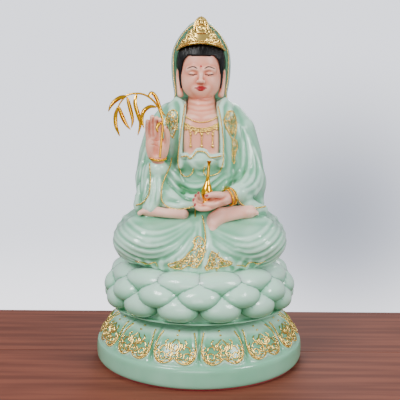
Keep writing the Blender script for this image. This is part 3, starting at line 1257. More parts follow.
# %% [markdown]
# ## Hair
# Combed back under the crown in fine strands, with a thin lock in front of each ear. The cap is
# one smooth form. The strands are shallow grooves pressed along it.

# %% Hair
hair = Clay((-31, -42, 296), (31, 26, 382), 0.6)
hair.egg((0, -7.5, 332), (27.6, 27.8, 33), k=0)
hair.egg((0, -3, 362), (15, 14, 13), k=4)
hair.column([(284, 20.6, 40, 17, 6), (312, 20.6, 40, 17, 6), (324, 20.4, 40, 17, 5), (330, 19.4, 40, 17, 4),
             (333.6, 17.6, 40, 17, 4), (335.6, 14.5, 40, 17, 4)], k=1.2, cut=True, centre=(0, -30))
for side in (-1, 1):
    hair.egg((side * 28, -9, 306), (8, 12, 19), k=2, cut=True)
hair.field = np.maximum(hair.field, (300 - hair.axes[2])[None, None, :])
for k in range(31):
    x = -24 + 48 * k / 30
    bow = 0.8 * math.sin(k * 1.9)
    strand = hair.on_front([(x * 0.62, 360), (x * 0.86 + bow, 350), (x * 0.97, 342),
                            (x, 336.0 - 0.004 * x * x)], step=1.2)
    hair.fold(strand, 0.7, -0.75, k=0.6, taper=0.3)
for side in (-1, 1):
    hair.roll([(side * 23.4, -17, 336, 2.2), (side * 23.4, -18.4, 326, 1.8), (side * 22.9, -18.8, 315, 1.5),
               (side * 22.0, -19.2, 307, 1.3), (side * 21.6, -19.6, 303.5, 0.9)], k=0.6)
hair_piece = hair.mesh("hair_casting", 3.0)
on_statue(hair_piece, "black_hair", "hair", material=hair_paint)

# %% [markdown]
# ## Hood
# A thin veil that falls from the top knot past the ears to the shoulders, pale enough to let
# light through. It is a shell: one column less a smaller one, cut open at the face, with a few
# soft folds, and its sharp edges softened by blurring the distances once.

# %% Hood
HOOD = [(274, 34.5, 40, 25.5, 2.2), (284, 32.6, 40, 27.4, 2.2), (291, 31.4, 40, 28.2, 2.2),
        (299, 30.0, 40, 28.5, 2.2), (310, 31.4, 40, 29, 2.2),
        (325, 32.8, 40, 29.5, 2.2), (338, 32.8, 38, 29, 2.2), (348, 31.2, 36, 27, 2.15),
        (356, 28.0, 32, 24.5, 2.1),
        (364, 23.4, 26, 21, 2), (371, 17.8, 20, 17, 2), (377, 11.5, 13, 11.5, 2), (380.4, 3.8, 5, 4.5, 2)]
HOOD_WALL = 2.0
hood = Clay((-40, -26, 272), (40, 38, 383), 0.85)
hood.column(HOOD, k=0, centre=(0, 2))
for angle, height in ((150, 1.3), (180, 1.5), (208, 1.3), (122, 1.1), (238, 1.1), (100, 0.9), (260, 0.9)):
    ridge = hood.on_round([(angle, 372), (angle + 2, 352), (angle - 1, 325), (angle, 298)], step=2, reach=36)
    hood.fold(ridge, 3.2, height, k=2.5)
inner = [(z - (HOOD_WALL if z > 375 else 0), max(a - HOOD_WALL, 1), max(bf - HOOD_WALL, 1),
          max(bb - HOOD_WALL, 1), p)
         for z, a, bf, bb, p in HOOD]
inner[0] = (264, *inner[0][1:])
hood.column(inner, k=0, cut=True, centre=(0, 2))
rim = -10.5 + 0.9 * np.sin(hood.axes[2] / 4.1) - 4.5 * np.clip((hood.axes[2] - 345) / 30, 0, 1)
hood.field = np.maximum(hood.field, rim[None, None, :] - hood.axes[1][None, :, None])
for axis in range(3):
    hood.field = box_blur(hood.field, 1, axis)
hood_piece = hood.mesh("hood_casting", 5.0)


def veil_material():
    """The same resin only 2 mm thick, so light also comes through from behind."""
    thin = jade_material("jade_resin_thin", "#BFE5D0", "#A3D3B8", "#84C2A0", 0.5)
    tree = thin.node_tree
    solid = next(node for node in tree.nodes if node.type == "BSDF_PRINCIPLED")
    out = next(node for node in tree.nodes if node.type == "OUTPUT_MATERIAL")
    glow = add(tree, "ShaderNodeBsdfTranslucent", {"Color": colour("#D8F2E0")})
    both = add(tree, "ShaderNodeMixShader", {0: 0.35, 1: solid.outputs[0], 2: glow.outputs[0]})
    tree.links.new(both.outputs[0], out.inputs["Surface"])
    return thin


veil_jade = veil_material()
on_statue(hood_piece, "jade_resin", "hood_veil", material=veil_jade)
hood_edges = []
for side in (-1, 1):
    heights = np.linspace(290, 377, 60)
    widths = np.interp(heights, [r[0] for r in HOOD], [r[1] for r in HOOD]) - 0.9
    depths = np.interp(heights, [r[0] for r in HOOD], [r[2] for r in HOOD])
    front = -11.0 + 0.9 * np.sin(heights / 4.1) - 4.5 * np.clip((heights - 345) / 30, 0, 1)
    spread = widths * np.clip(1 - (np.abs(front - 2) / depths) ** 2.2, 0, 1) ** (1 / 2.2)
    hood_edges.append(np.column_stack([side * spread, front - 0.4, heights]))
on_statue(bead_rows("hood_gold_edge", hood_edges, 0.6, 1.3, gold_paint), "gilded_trim")

# %% [markdown]
# ## Crown
# A gilt mitre that leans back over the hair: a band with an arched lower edge, leafy scrolls on
# both sides, and a pointed oval plate with a tiny seated figure on it.

# %% Crown
crown = Clay((-29, -45, 340), (29, -6, 382), 0.5)
crown.egg((0, -9.5, 349), (28.3, 25.5, 27), k=0)
across = crown.axes[0][:, None, None]
height = crown.axes[2][None, None, :]
lower = 348.0 - 0.006 * across ** 2
upper = 378 - np.abs(across) * 1.2 + 1.2 * np.cos(across * 0.9)
crown.field = np.maximum(crown.field, np.maximum(lower - height, height - np.minimum(upper, 369)))
crown.field = np.maximum(crown.field, (crown.axes[1] + 14)[None, :, None])
crown.egg((0, -6, 346), (26.2, 24.8, 28), k=0.5, cut=True)
plate_y = -27.5
crown.egg((0, plate_y, 365), (7.6, 3.0, 13.0), k=1.0, turn=(-10, 0, 0))
crown.roll([(0, plate_y + 1, 375, 2.6), (0, plate_y + 2.4, 379.2, 0.6)], k=1)
edge_angles = np.radians(np.linspace(-205, 25, 40))
halo = np.column_stack([7.4 * np.cos(edge_angles), np.full(40, 0.0), 366 - 11.6 * np.sin(edge_angles)])
halo[:, 1] = plate_y - 1.6 + (halo[:, 2] - 365) * 0.17
crown.roll(np.column_stack([halo, np.full(40, 0.95)]), k=0.4)
inner_halo = halo * [0.66, 1, 1] + [0, -0.6, 0]
inner_halo[:, 2] = 368 + (inner_halo[:, 2] - 366) * 0.68
crown.roll(np.column_stack([inner_halo, np.full(40, 0.6)]), k=0.3)
figure_y = plate_y - 3.0
crown.egg((0, figure_y + 1.0, 371.0), (2.5, 2.4, 2.9), k=0.3)
crown.egg((0, figure_y + 1.2, 374.2), (1.3, 1.3, 1.2), k=0.3)
crown.egg((0, figure_y + 0.2, 365.0), (4.0, 2.8, 3.6), k=0.4)
crown.egg((0, figure_y - 0.4, 360.4), (6.8, 3.6, 2.2), k=0.4)
for side in (-1, 1):
    crown.roll([(side * 4.2, figure_y, 366.5, 1.4), (side * 4.6, figure_y - 0.8, 362.5, 1.3),
                (side * 1, figure_y - 2.2, 361.6, 1.1)], k=0.4)
for k in range(-3, 4):
    crown.egg((k * 2.6, figure_y - 0.6 + abs(k) * 0.4, 356.2), (1.5, 1.6, 2.0), k=0.3)
for side in (-1, 1):
    CROWN_SCROLLS = [
        spiral((side * 11.5, 362.5), 3.2, side * 1.4, 90),
        spiral((side * 13.5, 354.6), 3.4, side * -1.4, 250),
        spiral((side * 19.2, 351.6), 2.8, side * 1.3, 80), spiral((side * 7.6, 352.4), 2.2, side * 1.2, 200),
        smooth_path([(side * 8, 357), (side * 11, 359), (side * 14.5, 358.6), (side * 17, 356.4)], 0.8),
        smooth_path([(side * 16.5, 358.5), (side * 19.5, 356.5), (side * 22.5, 352.5)], 0.8),
        smooth_path([(side * 9.5, 366), (side * 11.5, 367.5), (side * 10.8, 364.6)], 0.8),
        smooth_path([(side * 21.5, 349.2), (side * 23.6, 348.4), (side * 24.2, 346.6)], 0.8),
    ]
    for scroll in CROWN_SCROLLS:
        crown.fold(crown.on_front(scroll, step=0.8), 1.0, 1.0, k=0.3, taper=0.3)
band = crown.on_front([(-23.5, 345.8), (-15, 348.2), (0, 349.4), (15, 348.2), (23.5, 345.8)], step=0.8)
crown.fold(band, 0.9, 0.8, k=0.4, taper=0.1)
crown_piece = crown.mesh("crown_casting", 1.6)
on_statue(crown_piece, "gilded_trim", "crown_band", "crown_halo", "crown_figure", material=gold_gilt)
crown_beads = [band + [0, -0.6, 1.6]]
on_statue(bead_rows("crown_beads", crown_beads, 0.65, 1.7, gold_gilt, 1.0, 0.0), "gilded_trim")

# %% [markdown]
# ## Collar
# A thin cord, a wider scalloped band and three strings with drops, gilt and lying on the chest.

# %% Collar
def on_chest(places, lift=0.5, step=1.0):
    path = chest.on_front(places, step=step)
    return path + chest.slope(path) * lift


cord = on_chest([(-17.5, 272.5), (-9, 266.8), (1, 264.8), (11, 266.8), (19, 272)])
band_low = on_chest([(-18, 261.5), (-9, 256.5), (1, 254.6), (11, 256.5), (20, 261.5)])
band_high = on_chest([(-18, 264.8), (-9, 259.8), (1, 258.2), (11, 259.8), (20, 264.8)])
on_statue(bead_rows("collar_cord", [cord], 0.85, 1.45, gold_gilt, 1.2, 0.5), "gilded_trim")
on_statue(bead_rows("collar_band", [band_high, band_low], 0.85, 1.5, gold_gilt, 1.2, 0.5), "gilded_trim",
          "necklace")
scallops = []
for x in (-15.5, -11.2, -5.6, 1, 7.6, 13.2, 17.5):
    z = 254.8 + 0.02 * (x - 1) ** 2
    for side in (-1, 1):
        flat = spiral((x + side * 1.6, z + 1.2), 1.7, side * 1.2, 270 if side > 0 else -90, steps=14)
        scallops.append(on_chest(flat, 0.5))
    scallops.append(on_chest([(x - 2.1, z - 0.6), (x, z - 3.8), (x + 2.1, z - 0.6)], 0.5))
on_statue(tubes("collar_scallops", scallops, 0.7, 6, 0.9, 0.5), "gilded_trim", material=gold_gilt)
STRING_X = (-10.5, 1.4, 13.0)
strings, drops = [], []
for x in STRING_X:
    strings.append(on_chest([(x, 252.5), (x, 246), (x, 240.5)], 0.6))
    drops.append(on_chest([(x, 239.6), (x, 239.5)], 0.9))
    drops.append(on_chest([(x, 251.8), (x, 251.7)], 0.9))
on_statue(bead_rows("necklace_bead_strings", strings, 1.1, 1.9, gold_gilt, 1.0, 0.0), "gilded_trim",
          "necklace_strings")
on_statue(bead_rows("necklace_drops", drops, 1.6, 3.0, gold_gilt, 1.3, 0.0), "gilded_trim")

# %% [markdown]
# ## Hands
# Each hand is a flattened palm, four fingers and a thumb, blended with small fillets. The raised
# hand holds the stem between the tips of the first finger and the thumb. The other hand lies
# palm up and curls round the foot of the vase. Nails are touched in with red.

# %% Raised hand
def finger(clay, places, base, tip, k=1.2):
    """A finger with slightly fuller joints through x, y, z places."""
    path = smooth_path(places, 1.5)
    t = np.linspace(0, 1, len(path))
    radius = base + (tip - base) * t + 0.16 * np.cos(t * 3 * np.pi * 2) * (1 - t)
    clay.roll(np.column_stack([path, radius]), k=k)


raised = Clay((-64, -68, 209), (-26, -36, 275), 0.5)
raised.roll([(-44, -45.6, 213, 6.0), (-44.4, -46.4, 221, 5.9), (-45, -48, 227, 6.6)], k=3)
raised.egg((-45.6, -49, 234), (9.6, 5.4, 11.5), k=4, turn=(10, 0, 0))
raised.egg((-47.4, -51, 243), (9.4, 4.6, 9), k=4, turn=(12, 0, 0))
raised.egg((-38.6, -51.5, 235.5), (5.2, 5.6, 9.5), k=4, turn=(8, 14, 0))
raised.egg((-52.6, -50, 236), (4.4, 4.8, 11), k=4, turn=(10, -6, 0))
finger(raised, [(-53.6, -50.8, 242), (-55, -52.2, 250), (-55.6, -54, 258), (-55.2, -56.4, 264.6)], 3.0, 2.2)
finger(raised, [(-50.2, -51.6, 244), (-51, -53, 254), (-50.9, -55.4, 263), (-50.2, -58.6, 269.2)], 3.2, 2.3)
finger(raised, [(-46.4, -52, 245), (-46.8, -54.2, 256), (-46.4, -57.4, 264), (-45.6, -61, 267.5)], 3.3, 2.4)
finger(raised, [(-42.6, -51.6, 244), (-42.0, -54.6, 254), (-41.7, -58.4, 262), (-41.6, -61.6, 266.0)],
       3.2, 2.2)
finger(raised, [(-39.6, -50.5, 232), (-35.8, -53.4, 242), (-34.6, -57.6, 251), (-36.6, -60.8, 257.6)],
       4.2, 2.5)
raised.roll([(-46.5, -55.6, 231, 1.4), (-46.5, -56.6, 240, 1.8), (-46, -56.2, 246, 1.2)], k=3, cut=True)
for line in ([(-51, 246), (-47, 244.5), (-42, 245.5)], [(-52, 241), (-47.5, 240), (-43, 237.5)],
             [(-40.5, 244), (-42.4, 237), (-42.2, 229)]):
    raised.fold(raised.on_front(line, step=1.2), 0.6, -0.45, k=0.6)
raised_piece = raised.mesh("right_hand_casting", 3.2)
raised_nails = [((-55.4, -54.6, 263.6, 1.2), (-55.0, -55.4, 266.4, 1.2)),
                ((-50.4, -57.4, 270.4, 1.2), (-49.9, -59.2, 271.2, 1.2)),
                ((-34.0, -60.6, 257.6, 1.1), (-34.6, -62.2, 258.8, 1.1))]
enamel_near(raised_piece, raised_nails)
on_statue(raised_piece, "painted_skin", "right_hand", material=skin)

# %% Hand that holds the vase
cupped = Clay((-14, -88, 168), (46, -50, 201), 0.5)
cupped.roll([(41, -55, 188.6, 6.0), (34, -60, 187.6, 6.1), (27, -64.5, 186, 6.8)], k=3)
cupped.egg((21, -68, 184), (10.5, 8.2, 6.4), k=4, turn=(0, -8, -14))
cupped.egg((12, -70.5, 180), (9.5, 9.5, 4.6), k=4, turn=(0, -8, 0))
# depth, x and height of the bend, x and height of the tip, radius
CURL = [(-79, 0.5, 175.6, -4.6, 179.6, 2.8), (-73.5, -1.6, 178.4, -6.0, 184.2, 2.9),
        (-67.5, -1.2, 181, -4.2, 188, 2.8), (-61.6, 0.6, 183, -1.4, 190.4, 2.5)]
cupped_nails = []
for y, bend_x, bend_z, tip_x, tip_z, radius in CURL:
    finger(cupped, [(15, y + 4, 179), (8, y + 2, 176.2), (bend_x, y + 1, bend_z),
                    ((bend_x + tip_x) / 2 - 0.9, y + 0.8, (bend_z + tip_z) / 2 - 0.6),
                    (tip_x, y + 0.6, tip_z)],
           radius + 0.3, radius - 0.7)
    cupped_nails.append(((tip_x - 0.9, y - 1.3, tip_z, 1.25), (tip_x - 0.4, y - 1.1, tip_z + 1.4, 1.2)))
finger(cupped, [(27, -69, 187), (20, -75, 189.6), (13, -79, 190.2), (7.2, -80, 189.0)], 4.3, 2.6)
cupped_nails.append(((7.4, -82.0, 189.6, 1.2), (6.0, -82.0, 189.4, 1.2)))
for line in ([(27, 180.5), (18, 176.5), (9, 176.5)], [(24, 184.6), (18, 184.2), (12, 181.5)]):
    cupped.fold(cupped.on_front(line, step=1.2), 0.6, -0.45, k=0.6)
cupped_piece = cupped.mesh("left_hand_casting", 3.2)
enamel_near(cupped_piece, cupped_nails)
on_statue(cupped_piece, "painted_skin", "left_hand", material=skin)

# %% [markdown]
# ## Feet
# Both soles are turned up on the lap. Each foot is a long low form with a round heel, a narrow
# waist and a row of toes at the outer end.

# %% Feet
def foot(name, heel, waist, ball, toes, node_name, low, high, extra=()):
    clay = Clay(low, high, 0.6)
    clay.roll([(*heel, 5.6), (*waist, 4.9), (*ball, 6.0)], k=4)
    clay.egg(np.array(ball) + [0, 0, -0.4], (7.5, 7.2, 5.6), k=4)
    for stops in extra:
        clay.roll(stops, k=4)
    heel, ball, toes = (np.array(v, float) for v in (heel, ball, toes))
    across = np.array([0.25, 1.0, 0.15])
    for k in range(5):
        start = ball + across * (k * 2.7 - 5.2) + [0, 0, 0.9 - 0.2 * k]
        end = toes + across * (k * 2.5 - 4.6) + [(1 if ball[0] < 0 else -1) * 0.9 * k, 0, 0.8 - 0.35 * k]
        size = 2.7 if k == 0 else 2.1
        finger(clay, [start, (start + end) / 2 + [0, 0, 0.7], end], size + 0.5, size - 0.2, k=1.6)
    piece = clay.mesh(name, 3.5)
    enamel_near(piece, [])
    return on_statue(piece, "painted_skin", node_name, material=foot_skin)


foot("right_foot_casting", (-17.5, -57, 168), (-36, -57.5, 169), (-54, -53, 171), (-62.5, -51.5, 168.2),
     "right_foot",
     (-76, -74, 152), (-4, -34, 184))
foot("left_foot_casting", (17, -62, 163), (36, -59, 167), (52, -54, 170.5), (60.8, -51.5, 169.4), "left_foot",
     (0, -80, 142), (76, -34, 184), extra=[[(13, -66, 153.5, 5.0), (14, -64.5, 159, 6.4), (20, -61, 165, 6)],
            [(14, -62, 164, 6.4), (22, -60, 169.5, 6.2), (38, -57, 172, 5.2), (52, -54, 172.4, 5.4)]])

# %% [markdown]
# ## Bracelets
# The raised wrist has one twisted gold cord ring, the other wrist has two.

# %% Bracelets
def ring_path(centre, axis, radius, steps=72):
    axis = np.array(axis, float) / np.linalg.norm(axis)
    side = np.cross(axis, [0.1, 0.2, 1.0] if abs(axis[2]) < 0.9 else [1.0, 0.1, 0.1])
    side /= np.linalg.norm(side)
    up = np.cross(axis, side)
    t = np.linspace(0, 2 * np.pi, steps)[:, None]
    return np.array(centre) + radius * (np.cos(t) * side + np.sin(t) * up)


tilt_x, tilt_y = math.radians(20), math.radians(4)
raised_axis = (math.sin(tilt_y) * math.cos(tilt_x), -math.sin(tilt_x), math.cos(tilt_x) * math.cos(tilt_y))
raised_ring = ring_path((-45, -48, 227), raised_axis, 8.4)
on_statue(bead_rows("right_bracelet_cord", [raised_ring], 1.25, 1.5, gold_plate, 1.3, 0.8), "gold_plate",
          "right_bracelet")
left_rings = [ring_path((31.5 + s * 1.5, -61.8 + s * 0.75, 187.2 + s * 0.5), (1, 0.5, 0.35), 8.8)
              for s in (-1, 1)]
on_statue(bead_rows("left_bracelet_cords", left_rings, 1.05, 1.3, gold_plate, 1.3, 0.8), "gold_plate",
          "left_bracelet")

# %% [markdown]
# ## Vase
# A tall water bottle, turned and polished: round foot, pear body, long neck and a small lip. It
# leans a few degrees with the hand.

# %% Vase
VASE_FOOT, VASE_LEAN = np.array([6.1, -70, 181]), math.radians(4)
VASE_SIDE = [(0.0, 0.0), (3.4, 0.0), (3.65, 0.4), (3.3, 1.2), (2.9, 2.0), (3.4, 3.2), (4.6, 5.0),
             (5.6, 7.6), (6.0, 10.4),
             (5.75, 13.2), (4.6, 17.0), (3.3, 20.0), (2.3, 23.2), (1.7, 27.5), (1.42, 33), (1.45, 38),
             (1.75, 41),
             (2.4, 42.9), (2.45, 43.4), (2.0, 43.5), (1.3, 42.6), (1.0, 40.5), (0.0, 40.2)]


def lathe(name, side, sides=64):
    """Turns a profile of radius and height into a closed mesh."""
    turn = 2 * np.pi * np.arange(sides) / sides
    rows = [(r, z) for r, z in side if r > 0]
    points = [(r * math.cos(a), r * math.sin(a), z) for r, z in rows for a in turn]
    faces = [(i * sides + j, i * sides + (j + 1) % sides, (i + 1) * sides + (j + 1) % sides,
              (i + 1) * sides + j)
             for i in range(len(rows) - 1) for j in range(sides)]
    points += [(0, 0, side[0][1]), (0, 0, side[-1][1])]
    low, high = len(points) - 2, len(points) - 1
    top = (len(rows) - 1) * sides
    faces += [((j + 1) % sides, j, low) for j in range(sides)]
    faces += [(top + j, top + (j + 1) % sides, high) for j in range(sides)]
    return name, np.array(points), faces


fine_side = [tuple(p) for p in np.vstack([smooth_path(VASE_SIDE[1:20], 0.5), VASE_SIDE[20:22]])]
name, points, faces = lathe("vase_turned", [VASE_SIDE[0], *fine_side, VASE_SIDE[-1]])
leaned = np.column_stack([points[:, 0] * math.cos(VASE_LEAN) + points[:, 2] * math.sin(VASE_LEAN),
                          points[:, 1],
                          -points[:, 0] * math.sin(VASE_LEAN) + points[:, 2] * math.cos(VASE_LEAN)])
vase = fix_normals(mesh_piece(name, leaned + VASE_FOOT, faces))
on_statue(vase, "gold_plate", "vase", body="vase", material=gold_plate)

# %% [markdown]
# ## Willow branch
# A tapering wire stem that arches over the hand, and eight long leaves cut from sheet, each with
# a crease along the middle and a slight cup.

# %% Stem
BRANCH = [(-41.9, -62.5, 227, 1.15), (-40.3, -62.5, 245, 1.2), (-39, -62.5, 259, 1.2), (-40.2, -62, 270, 1.2),
          (-44.5, -61.5, 280, 1.15), (-51, -61, 287.5, 1.1), (-59, -60.5, 292, 1.05), (-68, -60, 292.8, 1.0),
          (-76, -59.5, 291, 0.95), (-82, -59, 285, 0.85), (-86, -58.5, 278, 0.7)]


def swept(name, stops, sides=14, step=0.8):
    path = smooth_path(stops, step)
    rings = tube_points(path[:, :3], path[:, 3], sides, 1.0)
    n = len(path)
    points = np.vstack([rings.reshape(-1, 3), path[:1, :3], path[-1:, :3]])
    faces = [(i * sides + j, i * sides + (j + 1) % sides, (i + 1) * sides + (j + 1) % sides,
              (i + 1) * sides + j)
             for i in range(n - 1) for j in range(sides)]
    faces += [((j + 1) % sides, j, n * sides) for j in range(sides)]
    faces += [((n - 1) * sides + j, (n - 1) * sides + (j + 1) % sides, n * sides + 1) for j in range(sides)]
    return fix_normals(mesh_piece(name, points, faces))


on_statue(swept("willow_stem_wire", BRANCH), "gold_plate", "willow_stem", body="willow_branch",
          material=gold_plate)

# %% Leaves
# places along each leaf, widest width, which way its face looks
LEAVES = [
    ([(-76, -60, 290), (-82, -62, 289), (-88, -63.5, 285), (-92, -64.5, 280), (-94.5, -65, 274)], 4.0),
    ([(-85.6, -59, 279), (-88, -60, 270), (-87.5, -61, 260), (-85, -62, 253), (-83.4, -62.5, 249)], 3.8),
    ([(-85, -58.5, 280), (-81.5, -57, 270), (-77, -56, 261), (-73, -55.5, 256)], 3.9),
    ([(-76, -59, 289), (-73.6, -58, 280), (-70.7, -57, 267), (-72, -56.5, 258)], 3.8),
    ([(-66, -60.5, 292), (-67.5, -62, 283), (-63.5, -63, 269), (-61.8, -63.5, 262), (-64.5, -64, 250)], 4.0),
    ([(-45.5, -62, 279), (-52, -63.5, 279.5), (-58, -65, 275), (-60, -66, 267), (-58, -66.5, 257)], 3.8),
    ([(-54.5, -60.5, 289.5), (-51, -58.5, 294), (-47, -57, 291), (-43.8, -56, 284), (-40.5, -55.5, 275),
      (-36.5, -55, 270.5)], 3.4),
    ([(-40, -62.8, 262.5), (-42.5, -65.5, 262), (-44.8, -67, 257), (-43.5, -67.5, 253)], 2.8),
]


def leaf_mesh(name, places, wide, face=(0.15, -1, 0.25), across=8):
    """A thin creased blade, pointed at both ends, with a front and a back."""
    path = smooth_path(places, 1.0)
    t = np.linspace(0, 1, len(path))
    ahead = np.gradient(path, axis=0)
    ahead /= np.linalg.norm(ahead, axis=1, keepdims=True)
    side = np.cross(ahead, np.tile(face, (len(path), 1)))
    side /= np.linalg.norm(side, axis=1, keepdims=True)
    out = np.cross(side, ahead)
    half = 0.5 * wide * np.sin(np.pi * np.clip(0.06 + 0.93 * t ** 0.8, 0, 1)) ** 0.75 + 0.25
    u = np.linspace(-1, 1, across + 1)
    rows = []
    for face_side, thick in ((1, 0.28), (-1, 0.28)):
        cup = -0.30 * wide * np.abs(u)[None, :] * np.sin(np.pi * t)[:, None]
        body = (face_side * thick * (1 - 0.75 * u ** 2))[None, :]
        sheet = path[:, None, :] + side[:, None, :] * (half[:, None] * u[None, :])[:, :, None]
        rows.append(sheet + out[:, None, :] * (cup + body)[:, :, None])
    n, m = len(path), across + 1
    points = np.vstack([rows[0].reshape(-1, 3), rows[1].reshape(-1, 3)])
    faces = []
    for i in range(n - 1):
        for j in range(m - 1):
            a = i * m + j
            faces.append((a, a + 1, a + m + 1, a + m))
            b = n * m + a
            faces.append((b + m, b + m + 1, b + 1, b))
        for j in (0, m - 1):
            a, b = i * m + j, n * m + i * m + j
            faces.append((a, a + m, b + m, b) if j == 0 else (b, b + m, a + m, a))
    for i in (0, n - 1):
        for j in range(m - 1):
            a, b = i * m + j, n * m + i * m + j
            faces.append((a, b, b + 1, a + 1) if i == 0 else (a + 1, b + 1, b, a))
    return fix_normals(mesh_piece(name, points, faces))


for k, (places, wide) in enumerate(LEAVES, 1):
    blade = leaf_mesh(f"leaf_blade_{k}", places, wide)
    on_statue(blade, "gold_plate", f"willow_leaf_{k}", body="willow_branch", material=gold_plate)

# %% [markdown]
# ## Gold on the robe
# The maker brushes gold on raised lines: a beaded border down both edges of the veil, filigree
# patches on the shoulders and on the apron, a scalloped hem over the chest, borders on both
# sleeves and a wavy line along the skirt. Each line is a row of x and height seen from the front,
# and it is dropped on to the cloth.

# %% Drop lines on to the cloth
def on_cloth(places, lift=0.3, step=1.2):
    path = robe.on_front(places, step=step)
    return path + robe.slope(path) * lift


BORDERS = {
    "veil_border_left": [(-17.5, 285), (-19, 270.5), (-21.5, 250), (-23, 235), (-23.5, 220), (-20.5, 209.5),
                         (-14.5, 206.5), (-9, 210), (-7, 215.5)],
    "veil_border_right": [(19.5, 282.5), (21.5, 270.5), (24, 250), (24.5, 235), (24, 220), (20, 211),
                          (12.5, 208), (6.5, 208), (3.5, 212.5), (5, 217.5)],
    "sleeve_line_left": [(-53.5, 220), (-52.5, 205.5), (-53.5, 189), (-60, 179.5), (-67.5, 176.5)],
    "sleeve_line_inner": [(-31, 226), (-32.5, 218), (-36.5, 208.5), (-40.5, 196.5), (-40.5, 183),
                          (-34.5, 176),
                          (-24.5, 173.5), (-14, 174.5), (-7.5, 176.5)],
    "cuff_line_right": [(24.5, 191), (28, 195.5), (33, 195.5), (37, 192), (39.5, 184.5), (45.5, 178),
                        (54, 175), (70, 175)],
    "cuff_line_low": [(23.5, 173.5), (32, 172.5), (39, 174)],
    "apron_line": [(2.5, 165.5), (4.5, 157.5), (6, 147.5), (5.5, 137), (2.5, 124), (-3, 116.5)],
    "apron_stub": [(-5, 172), (-5, 165)],
}
border_paths = [on_cloth(places, 0.4) for places in BORDERS.values()]
on_statue(bead_rows("robe_gold_borders", border_paths, 0.82, 1.35, gold_paint, 1.35, 0.75), "gilded_trim")

RUFFLE = [(-20, 228), (-14.5, 229), (-11, 226), (-7, 229.5), (-4, 233.5), (2, 234), (6.5, 232),
          (9.5, 228), (14, 227.5), (22, 229)]
chest_hem = Clay((-30, -52, 212), (33, -26, 242), 0.6)
hem_path = smooth_path(RUFFLE, 1.0)
for depth, rise, size in ((-41.6, 2.8, 0.9), (-41.5, 1.2, 1.2), (-41.0, -0.4, 1.4), (-39.4, -1.6, 1.8)):
    middle = np.column_stack([hem_path[:, 0], np.full(len(hem_path), depth), hem_path[:, 1] + rise,
                              np.full(len(hem_path), size)])
    chest_hem.roll(middle, k=2)
hem_piece = chest_hem.mesh("chest_hem_casting", 4.0)
on_statue(hem_piece, "jade_resin", material=jade)
hem_line = chest_hem.on_front(RUFFLE, step=1.0)
on_statue(bead_rows("chest_hem_beads", [hem_line], 0.78, 1.3, gold_paint, 1.3, 0.75), "gilded_trim")

SKIRT_LINES = [[(-67.5, 119.5), (-61.5, 119.5), (-56.5, 116.5), (-52, 117.5), (-45.5, 119.5), (-43.5, 115)],
               [(37.5, 118), (43, 117.5), (47.5, 115.5), (50.5, 119.5), (54.5, 120.5), (60.5, 117.5),
                (69, 120.5)]]
on_statue(tubes("skirt_gold_lines", [on_cloth(line, 0.3, 1.0) for line in SKIRT_LINES], 0.8, 6, 0.75, 0.5),
          "gilded_trim", material=gold_paint)

# %% [markdown]
# The filigree patches are filled by a rule: small scrolls on a staggered grid inside an outline,
# each turned at random from a fixed seed, plus a line round the edge.

# %% Filigree patches
def inside(point, outline):
    x, z = point
    hit = False
    for (x0, z0), (x1, z1) in zip(outline, outline[1:] + outline[:1]):
        if (z0 > z) != (z1 > z) and x < (x1 - x0) * (z - z0) / (z1 - z0) + x0:
            hit = not hit
    return hit


def filigree(outline, pitch, rng):
    """Scroll lines, as x and height, that fill an outline."""
    xs, zs = [p[0] for p in outline], [p[1] for p in outline]
    lines = []
    row = 0
    z = min(zs) + pitch * 0.4
    while z < max(zs):
        x = min(xs) + pitch * (0.3 + 0.5 * (row % 2))
        while x < max(xs):
            spot = (x + rng.uniform(-0.5, 0.5), z + rng.uniform(-0.4, 0.4))
            if inside(spot, outline):
                way = rng.choice((-1, 1))
                start = rng.uniform(0, 360)
                lines.append(spiral(spot, pitch * 0.52, way * rng.uniform(0.9, 1.3), start, steps=14))
                far = math.radians(start + 150)
                if rng.random() < 0.7:
                    lines.append(smooth_path([spot,
                                              (spot[0] + pitch * 0.5 * math.cos(far),
                                               spot[1] + pitch * 0.5 * math.sin(far)),
                                              (spot[0] + pitch * 0.9 * math.cos(far + 0.6),
                                               spot[1] + pitch * 0.9 * math.sin(far + 0.6))], 0.8))
            x += pitch
        z += pitch * 0.86
        row += 1
    return lines


PATCHES = {
    "shoulder_left": ([(-37.5, 271.5), (-33.5, 277), (-28.5, 278.5), (-25, 273), (-26, 260.5), (-30, 249.5),
                       (-34.5, 255), (-38, 264)], 5),
    "shoulder_right": ([(26, 270), (30.5, 277.5), (36, 277), (39, 269), (39.5, 258), (36.5, 247), (32.5, 251),
                        (27.5, 260)], 5),
    "shoulder_tail": ([(35, 247), (39.5, 246), (40.5, 238), (38, 230), (37.5, 221), (35, 226), (35.5, 237)],
                      4),
    "apron_left": ([(-5.5, 145), (-1, 147), (3.5, 143.5), (5, 138), (4, 129), (0.5, 122), (-5, 117),
                    (-11.5, 118.5), (-19, 114.5), (-26, 115), (-32, 118), (-26, 121), (-16.5, 125),
                    (-11.5, 130.5), (-5.5, 136.5)], 5),
    "apron_right": ([(12.5, 133), (17, 130), (22.5, 125), (31.5, 122), (30, 118.5), (22.5, 117),
                     (14, 116), (6.5, 114.5), (7.5, 119), (10, 126.5)], 5),
}
rng = random.Random(7)
patch_lines, patch_edges = [], []
for outline, pitch in PATCHES.values():
    patch_lines += [on_cloth(line, 0.15, 1.0) for line in filigree(outline, pitch, rng)]
    patch_edges.append(on_cloth(outline + outline[:1], 0.2, 1.0))
filigree_piece = tubes("robe_filigree", patch_lines, 0.64, 5, 1.0, 0.6)
on_statue(filigree_piece, "gilded_trim", material=gold_paint)
on_statue(bead_rows("robe_filigree_edges", patch_edges, 0.8, 1.35, gold_paint, 1.3, 0.75), "gilded_trim")
print("filigree lines", len(patch_lines), "faces", len(filigree_piece.data.polygons))

